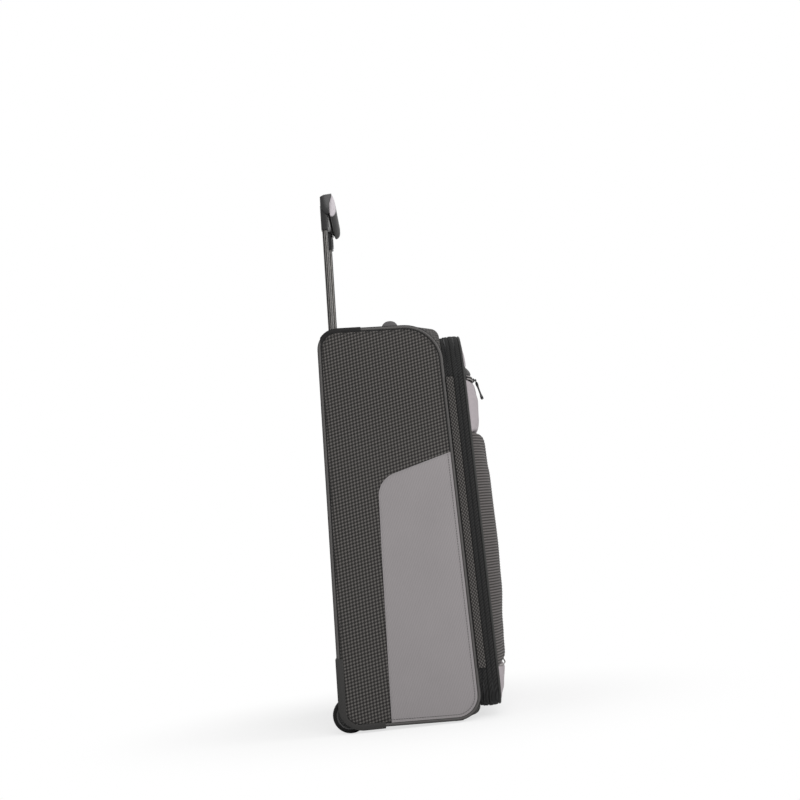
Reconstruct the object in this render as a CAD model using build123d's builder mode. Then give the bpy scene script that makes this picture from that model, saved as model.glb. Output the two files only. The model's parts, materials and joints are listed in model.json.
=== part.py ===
from build123d import *
import math
import os

# A softside upright case on two wheels. The front faces -Y and the hinge side is -X.
# "Ahead" is a distance forward of the wheel axis, and heights are above the ground.

os.makedirs("parts", exist_ok=True)

# --- Wheels ---
WHEEL_RADIUS = 31.7
WHEEL_WIDTH = 24.0
WHEEL_CROWN = 5.0
TYRE_DEPTH = 7.0
BEARING_RADIUS = 8.0
AXLE_RADIUS = 3.0
AXLE_CLEARANCE = 0.05
WELL_CLEARANCE = 3.0
WELL_SIDE_CLEARANCE = 3.0
END_PLAY = 0.3

# --- Case, as seen from its side ---
CASE_HALF_WIDTH = 230.0
BACK_BOTTOM_AHEAD = -18.3
BACK_BOTTOM_HEIGHT = 10.2
BACK_TOP_AHEAD = 12.4
BACK_TOP_HEIGHT = 725.0
FRONT_AHEAD = 234.5
FRONT_TOP_HEIGHT = 713.9
FRONT_BOTTOM_HEIGHT = 2.6
BACK_BOTTOM_RADIUS = 40.0
BACK_TOP_RADIUS = 36.0
FRONT_TOP_RADIUS = 70.0
FRONT_TOP_MIDDLE_RADIUS = 18.0
FRONT_BOTTOM_RADIUS = 44.0
FRONT_BOTTOM_MIDDLE_RADIUS = 16.0
CORNER_RUN = 62.0

# --- Cloth ---
CLOTH = 4.0
PATCH_THICKNESS = 0.9
PIPING_RADIUS = 2.7
PIPING_GAP = 0.1
BINDING_WIDTH = 6.0

# --- Lid, as seen from the front ---
LID_SET_IN = 1.0
LID_TOP = 698.0
LID_BOTTOM = 17.0
LID_TOP_RADIUS = 85.0
LID_BOTTOM_RADIUS = 62.0
TAPE_THICKNESS = 3.0
TAPE_GAP = 0.4
MAIN_ZIP_AHEAD = 241.6
EXPANSION_START_AHEAD = 249.3
EXPANSION_ZIP_AHEAD = 258.2
LID_PIPING_AHEAD = 267.0
LID_FACE_AHEAD = 272.0
LID_PANEL_THICKNESS = 6.0
OPENING_MARGIN = 16.0
GUSSET_CLEARANCE = 1.5
GUSSET_THICKNESS = 1.5
GUSSET_DEPTH = 44.0
HINGE_STRIP_BOTTOM = 91.0
HINGE_STRIP_TOP = 615.0
HINGE_STRIP_THICKNESS = 1.0
HINGE_STRIP_BACK_AHEAD = 235.0
HINGE_STRIP_FRONT_AHEAD = 250.6
LINING_THICKNESS = 1.0

# --- Front pockets ---
FRONT_REACH = 303.0
UPPER_REACH = 297.0
POCKET_WALL = 3.0
POCKET_SIDE_RUN = 80.0
POCKET_EDGE_INSET = 7.0
SEAM_GAP = 0.4
TRIM_TOP_HEIGHT = 632.0
HOOD_HEIGHT = 615.0
ZIP_SEAM_HEIGHT = 607.0
UPPER_POCKET_BOTTOM = 513.0
RIBBED_POCKET_BOTTOM = 92.0
ZIP_TAPE_REACH = 288.5

# --- Trolley ---
TUBE_SPACING = 200.0
TUBE_WIDTH = 18.0
TUBE_DEPTH = 9.6
TUBE_WALL = 1.2
FLUTE_RADIUS = 1.2
FLUTE_DEPTH = 0.5
TUBE_CORNER = 3.2
TUBE_AHEAD = 33.8
TUBE_SLIP = 0.4
OUTER_TUBE_WALL = 1.3
SOCKET_BOTTOM_RISE = 208.0
SOCKET_WIDTH = 27.0
TUBE_TOP_RISE = 246.0
TUBE_ENGAGED = 330.0
TROLLEY_TRAVEL = 225.0
STOP_BUSH_LENGTH = 30.0
TUBE_END_HEIGHT = 85.0
GRIP_HALF_WIDTH = 118.0
BUTTON_WIDTH = 36.0
BUTTON_DEPTH = 12.0
BUTTON_PROUD = 2.0
BUTTON_TRAVEL = 4.0
BUTTON_CLEARANCE = 0.4
PUSH_BAR_THICKNESS = 3.0
PUSH_ROD_RADIUS = 2.2

# --- Handle tray ---
TRAY_BACK_AHEAD = 17.0
TRAY_FRONT_AHEAD = 92.0
TRAY_PROUD = 1.8
TRAY_DEPTH_IN = 6.0
RECESS_HALF_WIDTH = 124.0
RECESS_BACK_AHEAD = 24.0
RECESS_FRONT_AHEAD = 66.0
RECESS_DEPTH = 38.0
TRAY_WALL = 2.5

# --- Wheel housings ---
HOUSING_PROUD = 0.7
HOUSING_INNER_WALL = 6.0
HOUSING_TOP_HEIGHT = 134.0
HOUSING_FRONT_AHEAD = 61.0
HOUSING_BACK_AHEAD = -21.3
HOUSING_BOTTOM_HEIGHT = 4.6
HOUSING_RADIUS = 44.0
HOUSING_FLANGE_BACK = 14.0
HOUSING_FLANGE_BOTTOM = 11.0
HOUSING_FLANGE_RADIUS = 22.0
WELL_WALL = 3.0
HOUSING_OUTER_WALL = 4.0
AXLE_END_WALL = 1.0

# --- Feet ---
FOOT_BACK_AHEAD = 181.0
FOOT_FRONT_AHEAD = 203.0
FOOT_LENGTH = 56.0
FOOT_MIDDLE = 176.0
FOOT_TAPER = 3.5

# --- Top handle ---
HANDLE_AHEAD = 146.0
HANDLE_WIDTH = 31.5
HANDLE_THICKNESS = 13.0
HANDLE_RISE = 30.0
HANDLE_LEG_SPACING = 200.0
HANDLE_BEND = 16.0
HANDLE_FOOT_RISE = 1.9
HANDLE_LIFT = 5.0
ANCHOR_LENGTH = 36.0
ANCHOR_WIDTH = 46.0
ANCHOR_RISE = 8.0
ANCHOR_CLEARANCE = 0.5

# --- Zip sliders and pulls ---
SLIDER_LENGTH = 12.0
SLIDER_WIDTH = 8.0
SLIDER_THICKNESS = 2.2
SLIDER_GAP = 0.3
BAIL_HEIGHT = 2.4
PULL_LENGTH = 38.0
PULL_WIDTH = 7.0
PULL_FLARE = 11.0
PULL_THICKNESS = 1.8
PULL_EYE_RADIUS = 1.4
BAIL_PIN_RADIUS = 0.7
MAIN_SLIDER_HEIGHT = 426.0
SLIDER_SPACING = 58.0
POCKET_SLIDER_X = -150.0
POCKET_PULL_LEAN = 14.0
EXPANSION_SLIDER_HEIGHT = 300.0

# --- Inside ---
BOARD_THICKNESS = 2.0
BOARD_MARGIN = 10.0
BOARD_TOP_MARGIN = 45.0
WIRE_RADIUS = 2.0
STRAP_WIDTH = 25.0
STRAP_THICKNESS = 1.2
STRAP_HALF_SPAN = 170.0
STRAP_HEIGHTS = (250.0, 470.0)
BUCKLE_WIDTH = 50.0
BUCKLE_HEIGHT = 34.0
BUCKLE_THICKNESS = 7.0
BRACKET_HALF_WIDTH = 118.0
BRACKET_HEIGHT = 34.0
BRACKET_SOCKET = 18.0

# Worked out from the sizes above.
AXLE_Y = (FRONT_REACH - WHEEL_RADIUS) / 2
LEAN_TANGENT = (BACK_TOP_AHEAD - BACK_BOTTOM_AHEAD) / (BACK_TOP_HEIGHT - BACK_BOTTOM_HEIGHT)
LEAN = math.atan(LEAN_TANGENT)
TOP_SLOPE = (BACK_TOP_HEIGHT - FRONT_TOP_HEIGHT) / (FRONT_AHEAD - BACK_TOP_AHEAD)
BOTTOM_SLOPE = (BACK_BOTTOM_HEIGHT - FRONT_BOTTOM_HEIGHT) / (FRONT_AHEAD - BACK_BOTTOM_AHEAD)
LID_HALF_WIDTH = CASE_HALF_WIDTH - LID_SET_IN
BAND_HALF_WIDTH = CASE_HALF_WIDTH - 2 * PIPING_RADIUS - 2 * PIPING_GAP
PIPING_X = CASE_HALF_WIDTH - PIPING_RADIUS - PIPING_GAP
SIDE_OUTER_X = CASE_HALF_WIDTH - PATCH_THICKNESS
SIDE_INNER_X = BAND_HALF_WIDTH
SIDE_INSET = 2 * PIPING_RADIUS + 2 * PIPING_GAP
HOUSING_OUTER_X = CASE_HALF_WIDTH + HOUSING_PROUD
WELL_OUTER_X = BAND_HALF_WIDTH - HOUSING_OUTER_WALL
AXLE_END_X = BAND_HALF_WIDTH - AXLE_END_WALL
WELL_INNER_X = WELL_OUTER_X - WHEEL_WIDTH - 2 * WELL_SIDE_CLEARANCE
HOUSING_INNER_X = WELL_INNER_X - HOUSING_INNER_WALL
WHEEL_MIDDLE_X = (WELL_OUTER_X + WELL_INNER_X) / 2
GUSSET_INSET = OPENING_MARGIN + GUSSET_CLEARANCE
OUTER_TUBE_WIDTH = TUBE_WIDTH + 2 * TUBE_SLIP + 2 * OUTER_TUBE_WALL
OUTER_TUBE_DEPTH = TUBE_DEPTH + 2 * TUBE_SLIP + 2 * OUTER_TUBE_WALL
TUBE_BOTTOM_RISE = -TUBE_ENGAGED
OUTER_TUBE_END_RISE = TUBE_END_HEIGHT - BACK_TOP_HEIGHT
BOARD_TOP = BACK_TOP_HEIGHT - BOARD_TOP_MARGIN
AXIS = (0, -math.sin(LEAN), math.cos(LEAN))
# How far a cutting slab reaches past the case.
CUT_MARGIN = 50.0


def y_at(ahead):
    return AXLE_Y - ahead


def back_ahead(height):
    """Where the back cloth's outer face is at a height."""
    return BACK_BOTTOM_AHEAD + (height - BACK_BOTTOM_HEIGHT) * LEAN_TANGENT


def top_height(ahead):
    return BACK_TOP_HEIGHT - (ahead - BACK_TOP_AHEAD) * TOP_SLOPE


def bottom_height(ahead):
    return BACK_BOTTOM_HEIGHT - (ahead - BACK_BOTTOM_AHEAD) * BOTTOM_SLOPE


TUBE_ORIGIN = (0, y_at(TUBE_AHEAD), BACK_TOP_HEIGHT)
# Square to the trolley tubes: x across the case, y backwards.
TROLLEY = Plane(origin=TUBE_ORIGIN, x_dir=(1, 0, 0), z_dir=AXIS)
# The trolley's side view: x forward of the tubes' axis, y up along it.
TROLLEY_SIDE = Plane(origin=TUBE_ORIGIN, x_dir=(0, -math.cos(LEAN), -math.sin(LEAN)), z_dir=(-1, 0, 0))


def side_outline(top_radius=FRONT_TOP_RADIUS, bottom_radius=FRONT_BOTTOM_RADIUS, inset=0.0):
    """The case's outline from the side, in a sketch on a YZ plane."""
    with BuildLine() as outline:
        FilletPolyline(
            (y_at(BACK_BOTTOM_AHEAD), BACK_BOTTOM_HEIGHT),
            (y_at(BACK_TOP_AHEAD), BACK_TOP_HEIGHT),
            (y_at(FRONT_AHEAD), FRONT_TOP_HEIGHT),
            (y_at(FRONT_AHEAD), FRONT_BOTTOM_HEIGHT),
            radius=(BACK_BOTTOM_RADIUS, BACK_TOP_RADIUS, top_radius, bottom_radius),
            close=True,
        )
    make_face(outline.edges())
    if inset:
        offset(amount=-inset)


def case_block(half_width, inset):
    """The case as one block. Its front edges are fuller in the middle than at the sides."""
    middle = half_width - CORNER_RUN
    with BuildPart() as block:
        with BuildSketch(Plane.YZ.offset(-middle)):
            side_outline(FRONT_TOP_MIDDLE_RADIUS, FRONT_BOTTOM_MIDDLE_RADIUS, inset)
        extrude(amount=2 * middle)
        for side in (-1, 1):
            with BuildSketch(Plane.YZ.offset(side * half_width)):
                side_outline(inset=inset)
            with BuildSketch(Plane.YZ.offset(side * middle)):
                side_outline(FRONT_TOP_MIDDLE_RADIUS, FRONT_BOTTOM_MIDDLE_RADIUS, inset)
            loft(ruled=True)
    return block.part


def slab_ahead(back, front, low=-CUT_MARGIN, high=BACK_TOP_HEIGHT + CUT_MARGIN):
    """A wide slab between two distances ahead, to cut pieces out of the case."""
    with BuildPart() as slab:
        with BuildSketch(Plane.XZ.offset(-y_at(back))):
            with Locations((0, (low + high) / 2)):
                Rectangle(4 * CASE_HALF_WIDTH, high - low)
        extrude(amount=front - back)
    return slab.part


def lid_outline(inset=0.0):
    """The lid's outline from the front, in a sketch on an XZ plane."""
    with BuildLine() as outline:
        FilletPolyline(
            (-LID_HALF_WIDTH, LID_BOTTOM),
            (LID_HALF_WIDTH, LID_BOTTOM),
            (LID_HALF_WIDTH, LID_TOP),
            (-LID_HALF_WIDTH, LID_TOP),
            radius=(LID_BOTTOM_RADIUS, LID_BOTTOM_RADIUS, LID_TOP_RADIUS, LID_TOP_RADIUS),
            close=True,
        )
    make_face(outline.edges())
    if inset:
        offset(amount=-inset)


def lid_plate(back, front, inset):
    with BuildPart() as plate:
        with BuildSketch(Plane.XZ.offset(-y_at(back))):
            lid_outline(inset)
        extrude(amount=front - back)
    return plate.part


def lid_ring(back, front, outer_inset, inner_inset):
    """A band that runs round the lid's outline."""
    with BuildPart() as ring:
        add(lid_plate(back, front, outer_inset))
        add(lid_plate(back, front, inner_inset), mode=Mode.SUBTRACT)
    return ring.part


def hinge_gap():
    """The space on the hinge side where the strip takes the zip's place."""
    with BuildPart() as gap:
        with BuildSketch(Plane.YZ.offset(-CASE_HALF_WIDTH - 5)):
            with BuildLine():
                Polyline(
                    (y_at(FRONT_AHEAD), HINGE_STRIP_BOTTOM),
                    (y_at(EXPANSION_START_AHEAD), HINGE_STRIP_BOTTOM),
                    (y_at(EXPANSION_START_AHEAD), HINGE_STRIP_TOP),
                    (y_at(FRONT_AHEAD), HINGE_STRIP_TOP),
                    close=True,
                )
            make_face()
        extrude(amount=20)
    return gap.part


def side_prism(points, near_x, far_x):
    """A prism across the case from points given as ahead and height."""
    with BuildPart() as prism:
        with BuildSketch(Plane.YZ.offset(near_x)):
            with BuildLine():
                Polyline(*[(y_at(ahead), height) for ahead, height in points], close=True)
            make_face()
        extrude(amount=far_x - near_x)
    return prism.part


# ---------------------------------------------------------------- wheel housings


def housing_outline(inset_back=0.0, inset_bottom=0.0, radius=HOUSING_RADIUS):
    """The corner that the housing wraps, filled towards the inside of the case."""
    back_foot = HOUSING_BACK_AHEAD + inset_back
    back_head = back_ahead(HOUSING_TOP_HEIGHT) - 3.0 + inset_back
    bottom = HOUSING_BOTTOM_HEIGHT + inset_bottom
    with BuildLine() as outline:
        FilletPolyline(
            (y_at(back_head), HOUSING_TOP_HEIGHT),
            (y_at(back_foot), bottom),
            (y_at(HOUSING_FRONT_AHEAD), bottom - 0.4),
            (y_at(HOUSING_FRONT_AHEAD), HOUSING_TOP_HEIGHT),
            radius=(0, radius, 0, 0),
            close=True,
        )
    make_face(outline.edges())


def housing_flange(side):
    """The strip of the housing that shows on the case's side."""
    start = BAND_HALF_WIDTH if side > 0 else -HOUSING_OUTER_X
    with BuildPart() as flange:
        with BuildSketch(Plane.YZ.offset(start)):
            housing_outline()
        extrude(amount=HOUSING_OUTER_X - BAND_HALF_WIDTH)
        with BuildSketch(Plane.YZ.offset(start)):
            housing_outline(HOUSING_FLANGE_BACK, HOUSING_FLANGE_BOTTOM, HOUSING_FLANGE_RADIUS)
        extrude(amount=HOUSING_OUTER_X - BAND_HALF_WIDTH, mode=Mode.SUBTRACT)
    return flange.part


def housing_core(side):
    """The part of the housing under the case, with the box round the wheel."""
    start = HOUSING_INNER_X if side > 0 else -BAND_HALF_WIDTH
    width = BAND_HALF_WIDTH - HOUSING_INNER_X
    with BuildPart() as core:
        with BuildSketch(Plane.YZ.offset(start)):
            housing_outline()
            housing_outline_cut()
        extrude(amount=width)
        with BuildSketch(Plane.YZ.offset(start)):
            with Locations((AXLE_Y, WHEEL_RADIUS)):
                Circle(WHEEL_RADIUS + WELL_CLEARANCE + WELL_WALL)
        extrude(amount=width)
        with BuildSketch(Plane.YZ.offset(start)):
            housing_outline()
        extrude(amount=width, mode=Mode.INTERSECT)
    return core.part


def housing_outline_cut():
    back_foot = HOUSING_BACK_AHEAD + HOUSING_FLANGE_BACK
    back_head = back_ahead(HOUSING_TOP_HEIGHT) - 3.0 + HOUSING_FLANGE_BACK
    bottom = HOUSING_BOTTOM_HEIGHT + HOUSING_FLANGE_BOTTOM
    with BuildLine() as outline:
        FilletPolyline(
            (y_at(back_head), HOUSING_TOP_HEIGHT),
            (y_at(back_foot), bottom),
            (y_at(HOUSING_FRONT_AHEAD), bottom - 0.4),
            (y_at(HOUSING_FRONT_AHEAD), HOUSING_TOP_HEIGHT),
            radius=(0, HOUSING_FLANGE_RADIUS, 0, 0),
            close=True,
        )
    make_face(outline.edges(), mode=Mode.SUBTRACT)


def housing_block(side):
    with BuildPart() as block:
        add(housing_flange(side))
        add(housing_core(side))
    return block.part


def housing_corner(side):
    """The whole corner behind the housing's outline, where the piping stops."""
    start = HOUSING_INNER_X if side > 0 else -HOUSING_OUTER_X
    with BuildPart() as corner:
        with BuildSketch(Plane.YZ.offset(start)):
            housing_outline()
        extrude(amount=HOUSING_OUTER_X - HOUSING_INNER_X)
    return corner.part


SIDE_NAMES = {-1: "left", 1: "right"}
housing_blocks = {side: housing_block(side) for side in SIDE_NAMES}
housing_corners = {side: housing_corner(side) for side in SIDE_NAMES}

# Through the wheels' axis: x along it and y upwards.
AXLE_PLANE = Plane(origin=(0, AXLE_Y, WHEEL_RADIUS), x_dir=(1, 0, 0), z_dir=(0, -1, 0))

for side, side_name in SIDE_NAMES.items():
    with BuildPart() as wheel_housing:
        add(housing_blocks[side])
        with BuildSketch(Plane.YZ.offset(side * WELL_INNER_X)):
            with Locations((AXLE_Y, WHEEL_RADIUS)):
                Circle(WHEEL_RADIUS + WELL_CLEARANCE)
        extrude(amount=side * (WELL_OUTER_X - WELL_INNER_X), mode=Mode.SUBTRACT)
        with BuildSketch(Plane.YZ.offset(side * HOUSING_INNER_X)):
            with Locations((AXLE_Y, WHEEL_RADIUS)):
                Circle(AXLE_RADIUS + AXLE_CLEARANCE)
        extrude(amount=side * (AXLE_END_X - HOUSING_INNER_X), mode=Mode.SUBTRACT)
    wheel_housing.part.label = f"wheel_housing_{side_name}"
    export_step(wheel_housing.part, f"parts/wheel_housing_{side_name}.step")

    # The tyre is a crowned ring on the hub.
    tyre_inner = WHEEL_RADIUS - TYRE_DEPTH
    with BuildPart() as tyre:
        with BuildSketch(AXLE_PLANE) as tyre_section:
            with Locations((side * WHEEL_MIDDLE_X, (WHEEL_RADIUS + tyre_inner) / 2)):
                Rectangle(WHEEL_WIDTH, TYRE_DEPTH)
            outer_corners = tyre_section.vertices().group_by(Axis.Y)[-1]
            fillet(outer_corners, radius=WHEEL_CROWN)
        revolve(axis=Axis(AXLE_PLANE.origin, (1, 0, 0)))
    tyre.part.label = f"tyre_{side_name}"
    export_step(tyre.part, f"parts/tyre_{side_name}.step")

    # The hub is dished on both faces.
    with BuildPart() as hub:
        with BuildSketch(Plane.YZ.offset(side * WHEEL_MIDDLE_X)):
            with Locations((AXLE_Y, WHEEL_RADIUS)):
                Circle(tyre_inner)
                Circle(BEARING_RADIUS, mode=Mode.SUBTRACT)
        extrude(amount=WHEEL_WIDTH / 2 - 1.0, both=True)
        for face_side in (-1, 1):
            face_x = side * WHEEL_MIDDLE_X + face_side * (WHEEL_WIDTH / 2 - 1.0)
            with BuildSketch(Plane.YZ.offset(face_x)):
                with Locations((AXLE_Y, WHEEL_RADIUS)):
                    Circle(tyre_inner - 3.0)
                    Circle(BEARING_RADIUS + 2.5, mode=Mode.SUBTRACT)
            extrude(amount=-face_side * 5.0, mode=Mode.SUBTRACT)
    hub.part.label = f"wheel_hub_{side_name}"
    export_step(hub.part, f"parts/wheel_hub_{side_name}.step")

    # Two bearings side by side fill the bore and reach the well's walls.
    bearing_length = (WELL_OUTER_X - WELL_INNER_X) / 2 - END_PLAY - 0.1
    with BuildPart() as bearings:
        for end_side in (-1, 1):
            inner_x = side * WHEEL_MIDDLE_X + end_side * 0.1
            with BuildSketch(Plane.YZ.offset(inner_x)):
                with Locations((AXLE_Y, WHEEL_RADIUS)):
                    Circle(BEARING_RADIUS)
                    Circle(AXLE_RADIUS + AXLE_CLEARANCE, mode=Mode.SUBTRACT)
            extrude(amount=end_side * bearing_length)
    bearings.part.label = f"wheel_bearings_{side_name}"
    export_step(bearings.part, f"parts/wheel_bearings_{side_name}.step")

with BuildPart() as axles:
    for side in SIDE_NAMES:
        with BuildSketch(Plane.YZ.offset(side * HOUSING_INNER_X)):
            with Locations((AXLE_Y, WHEEL_RADIUS)):
                Circle(AXLE_RADIUS)
        extrude(amount=side * (AXLE_END_X - HOUSING_INNER_X))
        with BuildSketch(Plane.YZ.offset(side * HOUSING_INNER_X)):
            with Locations((AXLE_Y, WHEEL_RADIUS)):
                Circle(AXLE_RADIUS * 2)
        extrude(amount=-side * 1.5)
axles.part.label = "wheel_axles"
export_step(axles.part, "parts/wheel_axles.step")

# ---------------------------------------------------------------- handle tray


def tray_block():
    """The strip of the case's top that the tray fills, with the box of its recess."""
    with BuildPart() as block:
        with BuildSketch(Plane.YZ.offset(-CASE_HALF_WIDTH)):
            side_outline()
            offset(amount=TRAY_PROUD)
            side_outline_inside(TRAY_DEPTH_IN)
        extrude(amount=2 * CASE_HALF_WIDTH)
        add(slab_ahead(TRAY_BACK_AHEAD, TRAY_FRONT_AHEAD, BACK_TOP_HEIGHT / 2), mode=Mode.INTERSECT)
    return block.part


def side_outline_inside(inset):
    with BuildLine() as outline:
        FilletPolyline(
            (y_at(BACK_BOTTOM_AHEAD + inset), BACK_BOTTOM_HEIGHT + inset),
            (y_at(BACK_TOP_AHEAD + inset), BACK_TOP_HEIGHT - inset),
            (y_at(FRONT_AHEAD - inset), FRONT_TOP_HEIGHT - inset),
            (y_at(FRONT_AHEAD - inset), FRONT_BOTTOM_HEIGHT + inset),
            radius=BACK_TOP_RADIUS - inset,
            close=True,
        )
    make_face(outline.edges(), mode=Mode.SUBTRACT)


def recess_box(margin, deeper):
    """The recess that the grip drops into, square to the trolley."""
    low = BACK_TOP_HEIGHT - RECESS_DEPTH - deeper
    return side_prism(
        (
            (RECESS_BACK_AHEAD - margin, low),
            (RECESS_FRONT_AHEAD + margin, low),
            (RECESS_FRONT_AHEAD + margin, BACK_TOP_HEIGHT + 20),
            (RECESS_BACK_AHEAD - margin, BACK_TOP_HEIGHT + 20),
        ),
        -RECESS_HALF_WIDTH - margin,
        RECESS_HALF_WIDTH + margin,
    )


def tube_holes(width, depth, low_rise, high_rise):
    with BuildPart() as holes:
        with BuildSketch(TROLLEY.offset(low_rise)):
            with GridLocations(TUBE_SPACING, 1, 2, 1):
                RectangleRounded(width, depth, min(TUBE_CORNER, depth / 2 - 0.5))
        extrude(amount=high_rise - low_rise)
    return holes.part


recess_envelope = recess_box(TRAY_WALL, TRAY_WALL)
with BuildPart() as under_top:
    with BuildSketch(Plane.YZ.offset(-CASE_HALF_WIDTH)):
        side_outline()
        offset(amount=TRAY_PROUD)
    extrude(amount=2 * CASE_HALF_WIDTH)

with BuildPart() as handle_tray:
    add(recess_envelope)
    add(under_top.part, mode=Mode.INTERSECT)
    add(tray_block())
    add(recess_box(0, 0), mode=Mode.SUBTRACT)
    add(
        tube_holes(TUBE_WIDTH + 2 * TUBE_SLIP, TUBE_DEPTH + 2 * TUBE_SLIP, -RECESS_DEPTH - 20, 0),
        mode=Mode.SUBTRACT,
    )
handle_tray.part.label = "handle_tray"
export_step(handle_tray.part, "parts/handle_tray.step")

# ---------------------------------------------------------------- case cloth

case_cutters = [housing_blocks[-1], housing_blocks[1], tray_block(), recess_envelope]

with BuildPart() as band:
    add(case_block(BAND_HALF_WIDTH, 0))
    add(case_block(BAND_HALF_WIDTH, CLOTH), mode=Mode.SUBTRACT)
    for cutter in case_cutters:
        add(cutter, mode=Mode.SUBTRACT)
    add(lid_plate(FRONT_AHEAD - 2 * CLOTH, FRONT_AHEAD + 1, OPENING_MARGIN), mode=Mode.SUBTRACT)

BACK_SPLIT = TRAY_BACK_AHEAD
FRONT_SPLIT = FRONT_AHEAD - FRONT_TOP_RADIUS
MIDDLE_HEIGHT = BACK_TOP_HEIGHT / 2
band_pieces = {
    "back_panel": (-100.0, BACK_SPLIT, -50.0, 900.0),
    "top_panel": (BACK_SPLIT, FRONT_SPLIT, MIDDLE_HEIGHT, 900.0),
    "bottom_panel": (BACK_SPLIT, FRONT_SPLIT, -50.0, MIDDLE_HEIGHT),
    "front_frame": (FRONT_SPLIT, FRONT_AHEAD + 10.0, -50.0, 900.0),
}
for piece_name, limits in band_pieces.items():
    with BuildPart() as band_piece:
        add(band.part)
        add(slab_ahead(*limits), mode=Mode.INTERSECT)
    band_piece.part.label = piece_name
    export_step(band_piece.part, f"parts/{piece_name}.step")

for side, side_name in SIDE_NAMES.items():
    inner_x = min(side * SIDE_INNER_X, side * SIDE_OUTER_X)
    # Under the housing the cloth runs out to the case's edge, because no piping is there.
    with BuildPart() as under_housing:
        with BuildSketch(Plane.YZ.offset(inner_x)):
            side_outline()
        extrude(amount=SIDE_OUTER_X - SIDE_INNER_X)
        add(housing_corners[side], mode=Mode.INTERSECT)
    with BuildPart() as side_panel:
        with BuildSketch(Plane.YZ.offset(inner_x)):
            side_outline(inset=SIDE_INSET)
        extrude(amount=SIDE_OUTER_X - SIDE_INNER_X)
        add(under_housing.part)
        for cutter in case_cutters:
            add(cutter, mode=Mode.SUBTRACT)
    side_panel.part.label = f"side_panel_{side_name}"
    export_step(side_panel.part, f"parts/side_panel_{side_name}.step")

# The pale patch on each side: straight down its back edge, sloping up to the front.
PATCH_FOOT_AHEAD = 71.0
PATCH_BEND_AHEAD = 86.0
PATCH_BEND_HEIGHT = 299.0
PATCH_SHOULDER_AHEAD = 94.0
PATCH_SHOULDER_HEIGHT = 444.0
PATCH_FRONT_HEIGHT = 481.0
PATCH_SHOULDER_RADIUS = 42.0
for side, side_name in SIDE_NAMES.items():
    start_x = min(side * SIDE_OUTER_X, side * CASE_HALF_WIDTH)
    with BuildPart() as side_patch:
        with BuildSketch(Plane.YZ.offset(start_x)):
            with BuildLine():
                FilletPolyline(
                    (y_at(PATCH_FOOT_AHEAD), FRONT_BOTTOM_HEIGHT - 10),
                    (y_at(PATCH_BEND_AHEAD), PATCH_BEND_HEIGHT),
                    (y_at(PATCH_SHOULDER_AHEAD), PATCH_SHOULDER_HEIGHT),
                    (y_at(FRONT_AHEAD), PATCH_FRONT_HEIGHT),
                    (y_at(FRONT_AHEAD), FRONT_BOTTOM_HEIGHT - 10),
                    radius=(0, 40, PATCH_SHOULDER_RADIUS, 0, 0),
                    close=True,
                )
            make_face()
        extrude(amount=PATCH_THICKNESS)
        with BuildSketch(Plane.YZ.offset(start_x)):
            side_outline(inset=SIDE_INSET)
        extrude(amount=PATCH_THICKNESS, mode=Mode.INTERSECT)
        for cutter in case_cutters:
            add(cutter, mode=Mode.SUBTRACT)
    side_patch.part.label = f"side_patch_{side_name}"
    export_step(side_patch.part, f"parts/side_patch_{side_name}.step")


def round_ring(plane, inset, radius, draw):
    """A cord of round section along an outline, drawn by the function given."""
    with BuildSketch(plane) as seam:
        draw()
        offset(amount=-inset)
    path = seam.sketch.faces()[0].outer_wire()
    with BuildPart() as cord:
        with BuildSketch(Plane(origin=path @ 0, z_dir=path % 0)):
            Circle(radius)
        sweep(path=path)
    return cord.part


with BuildPart() as side_pipings:
    for side in SIDE_NAMES:
        piping_plane = Plane.YZ.offset(side * PIPING_X)
        add(round_ring(piping_plane, PIPING_RADIUS + PIPING_GAP, PIPING_RADIUS, side_outline))
        add(housing_corners[side], mode=Mode.SUBTRACT)
    add(tray_block(), mode=Mode.SUBTRACT)
side_pipings.part.label = "side_pipings"
export_step(side_pipings.part, "parts/side_pipings.step")

# Binding tape closes the seam inside, along each side.
with BuildPart() as seam_bindings:
    for side in SIDE_NAMES:
        start_x = min(side * SIDE_INNER_X, side * (SIDE_INNER_X - BINDING_WIDTH))
        with BuildSketch(Plane.YZ.offset(start_x)):
            side_outline(inset=CLOTH)
        extrude(amount=BINDING_WIDTH)
        with BuildSketch(Plane.YZ.offset(start_x)):
            side_outline(inset=CLOTH + BINDING_WIDTH)
        extrude(amount=BINDING_WIDTH, mode=Mode.SUBTRACT)
    add(band.part, mode=Mode.SUBTRACT)
    for cutter in case_cutters:
        add(cutter, mode=Mode.SUBTRACT)
seam_bindings.part.label = "seam_bindings"
export_step(seam_bindings.part, "parts/seam_bindings.step")

# ---------------------------------------------------------------- zips and hinge strip

with BuildPart() as case_zip_tape:
    add(lid_ring(FRONT_AHEAD, MAIN_ZIP_AHEAD - TAPE_GAP / 2, 0, TAPE_THICKNESS))
    add(hinge_gap(), mode=Mode.SUBTRACT)
case_zip_tape.part.label = "case_zip_tape"
export_step(case_zip_tape.part, "parts/case_zip_tape.step")

with BuildPart() as lid_zip_tape:
    add(lid_ring(MAIN_ZIP_AHEAD + TAPE_GAP / 2, EXPANSION_START_AHEAD, 0, TAPE_THICKNESS))
    add(hinge_gap(), mode=Mode.SUBTRACT)
lid_zip_tape.part.label = "lid_zip_tape"
export_step(lid_zip_tape.part, "parts/lid_zip_tape.step")

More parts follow.
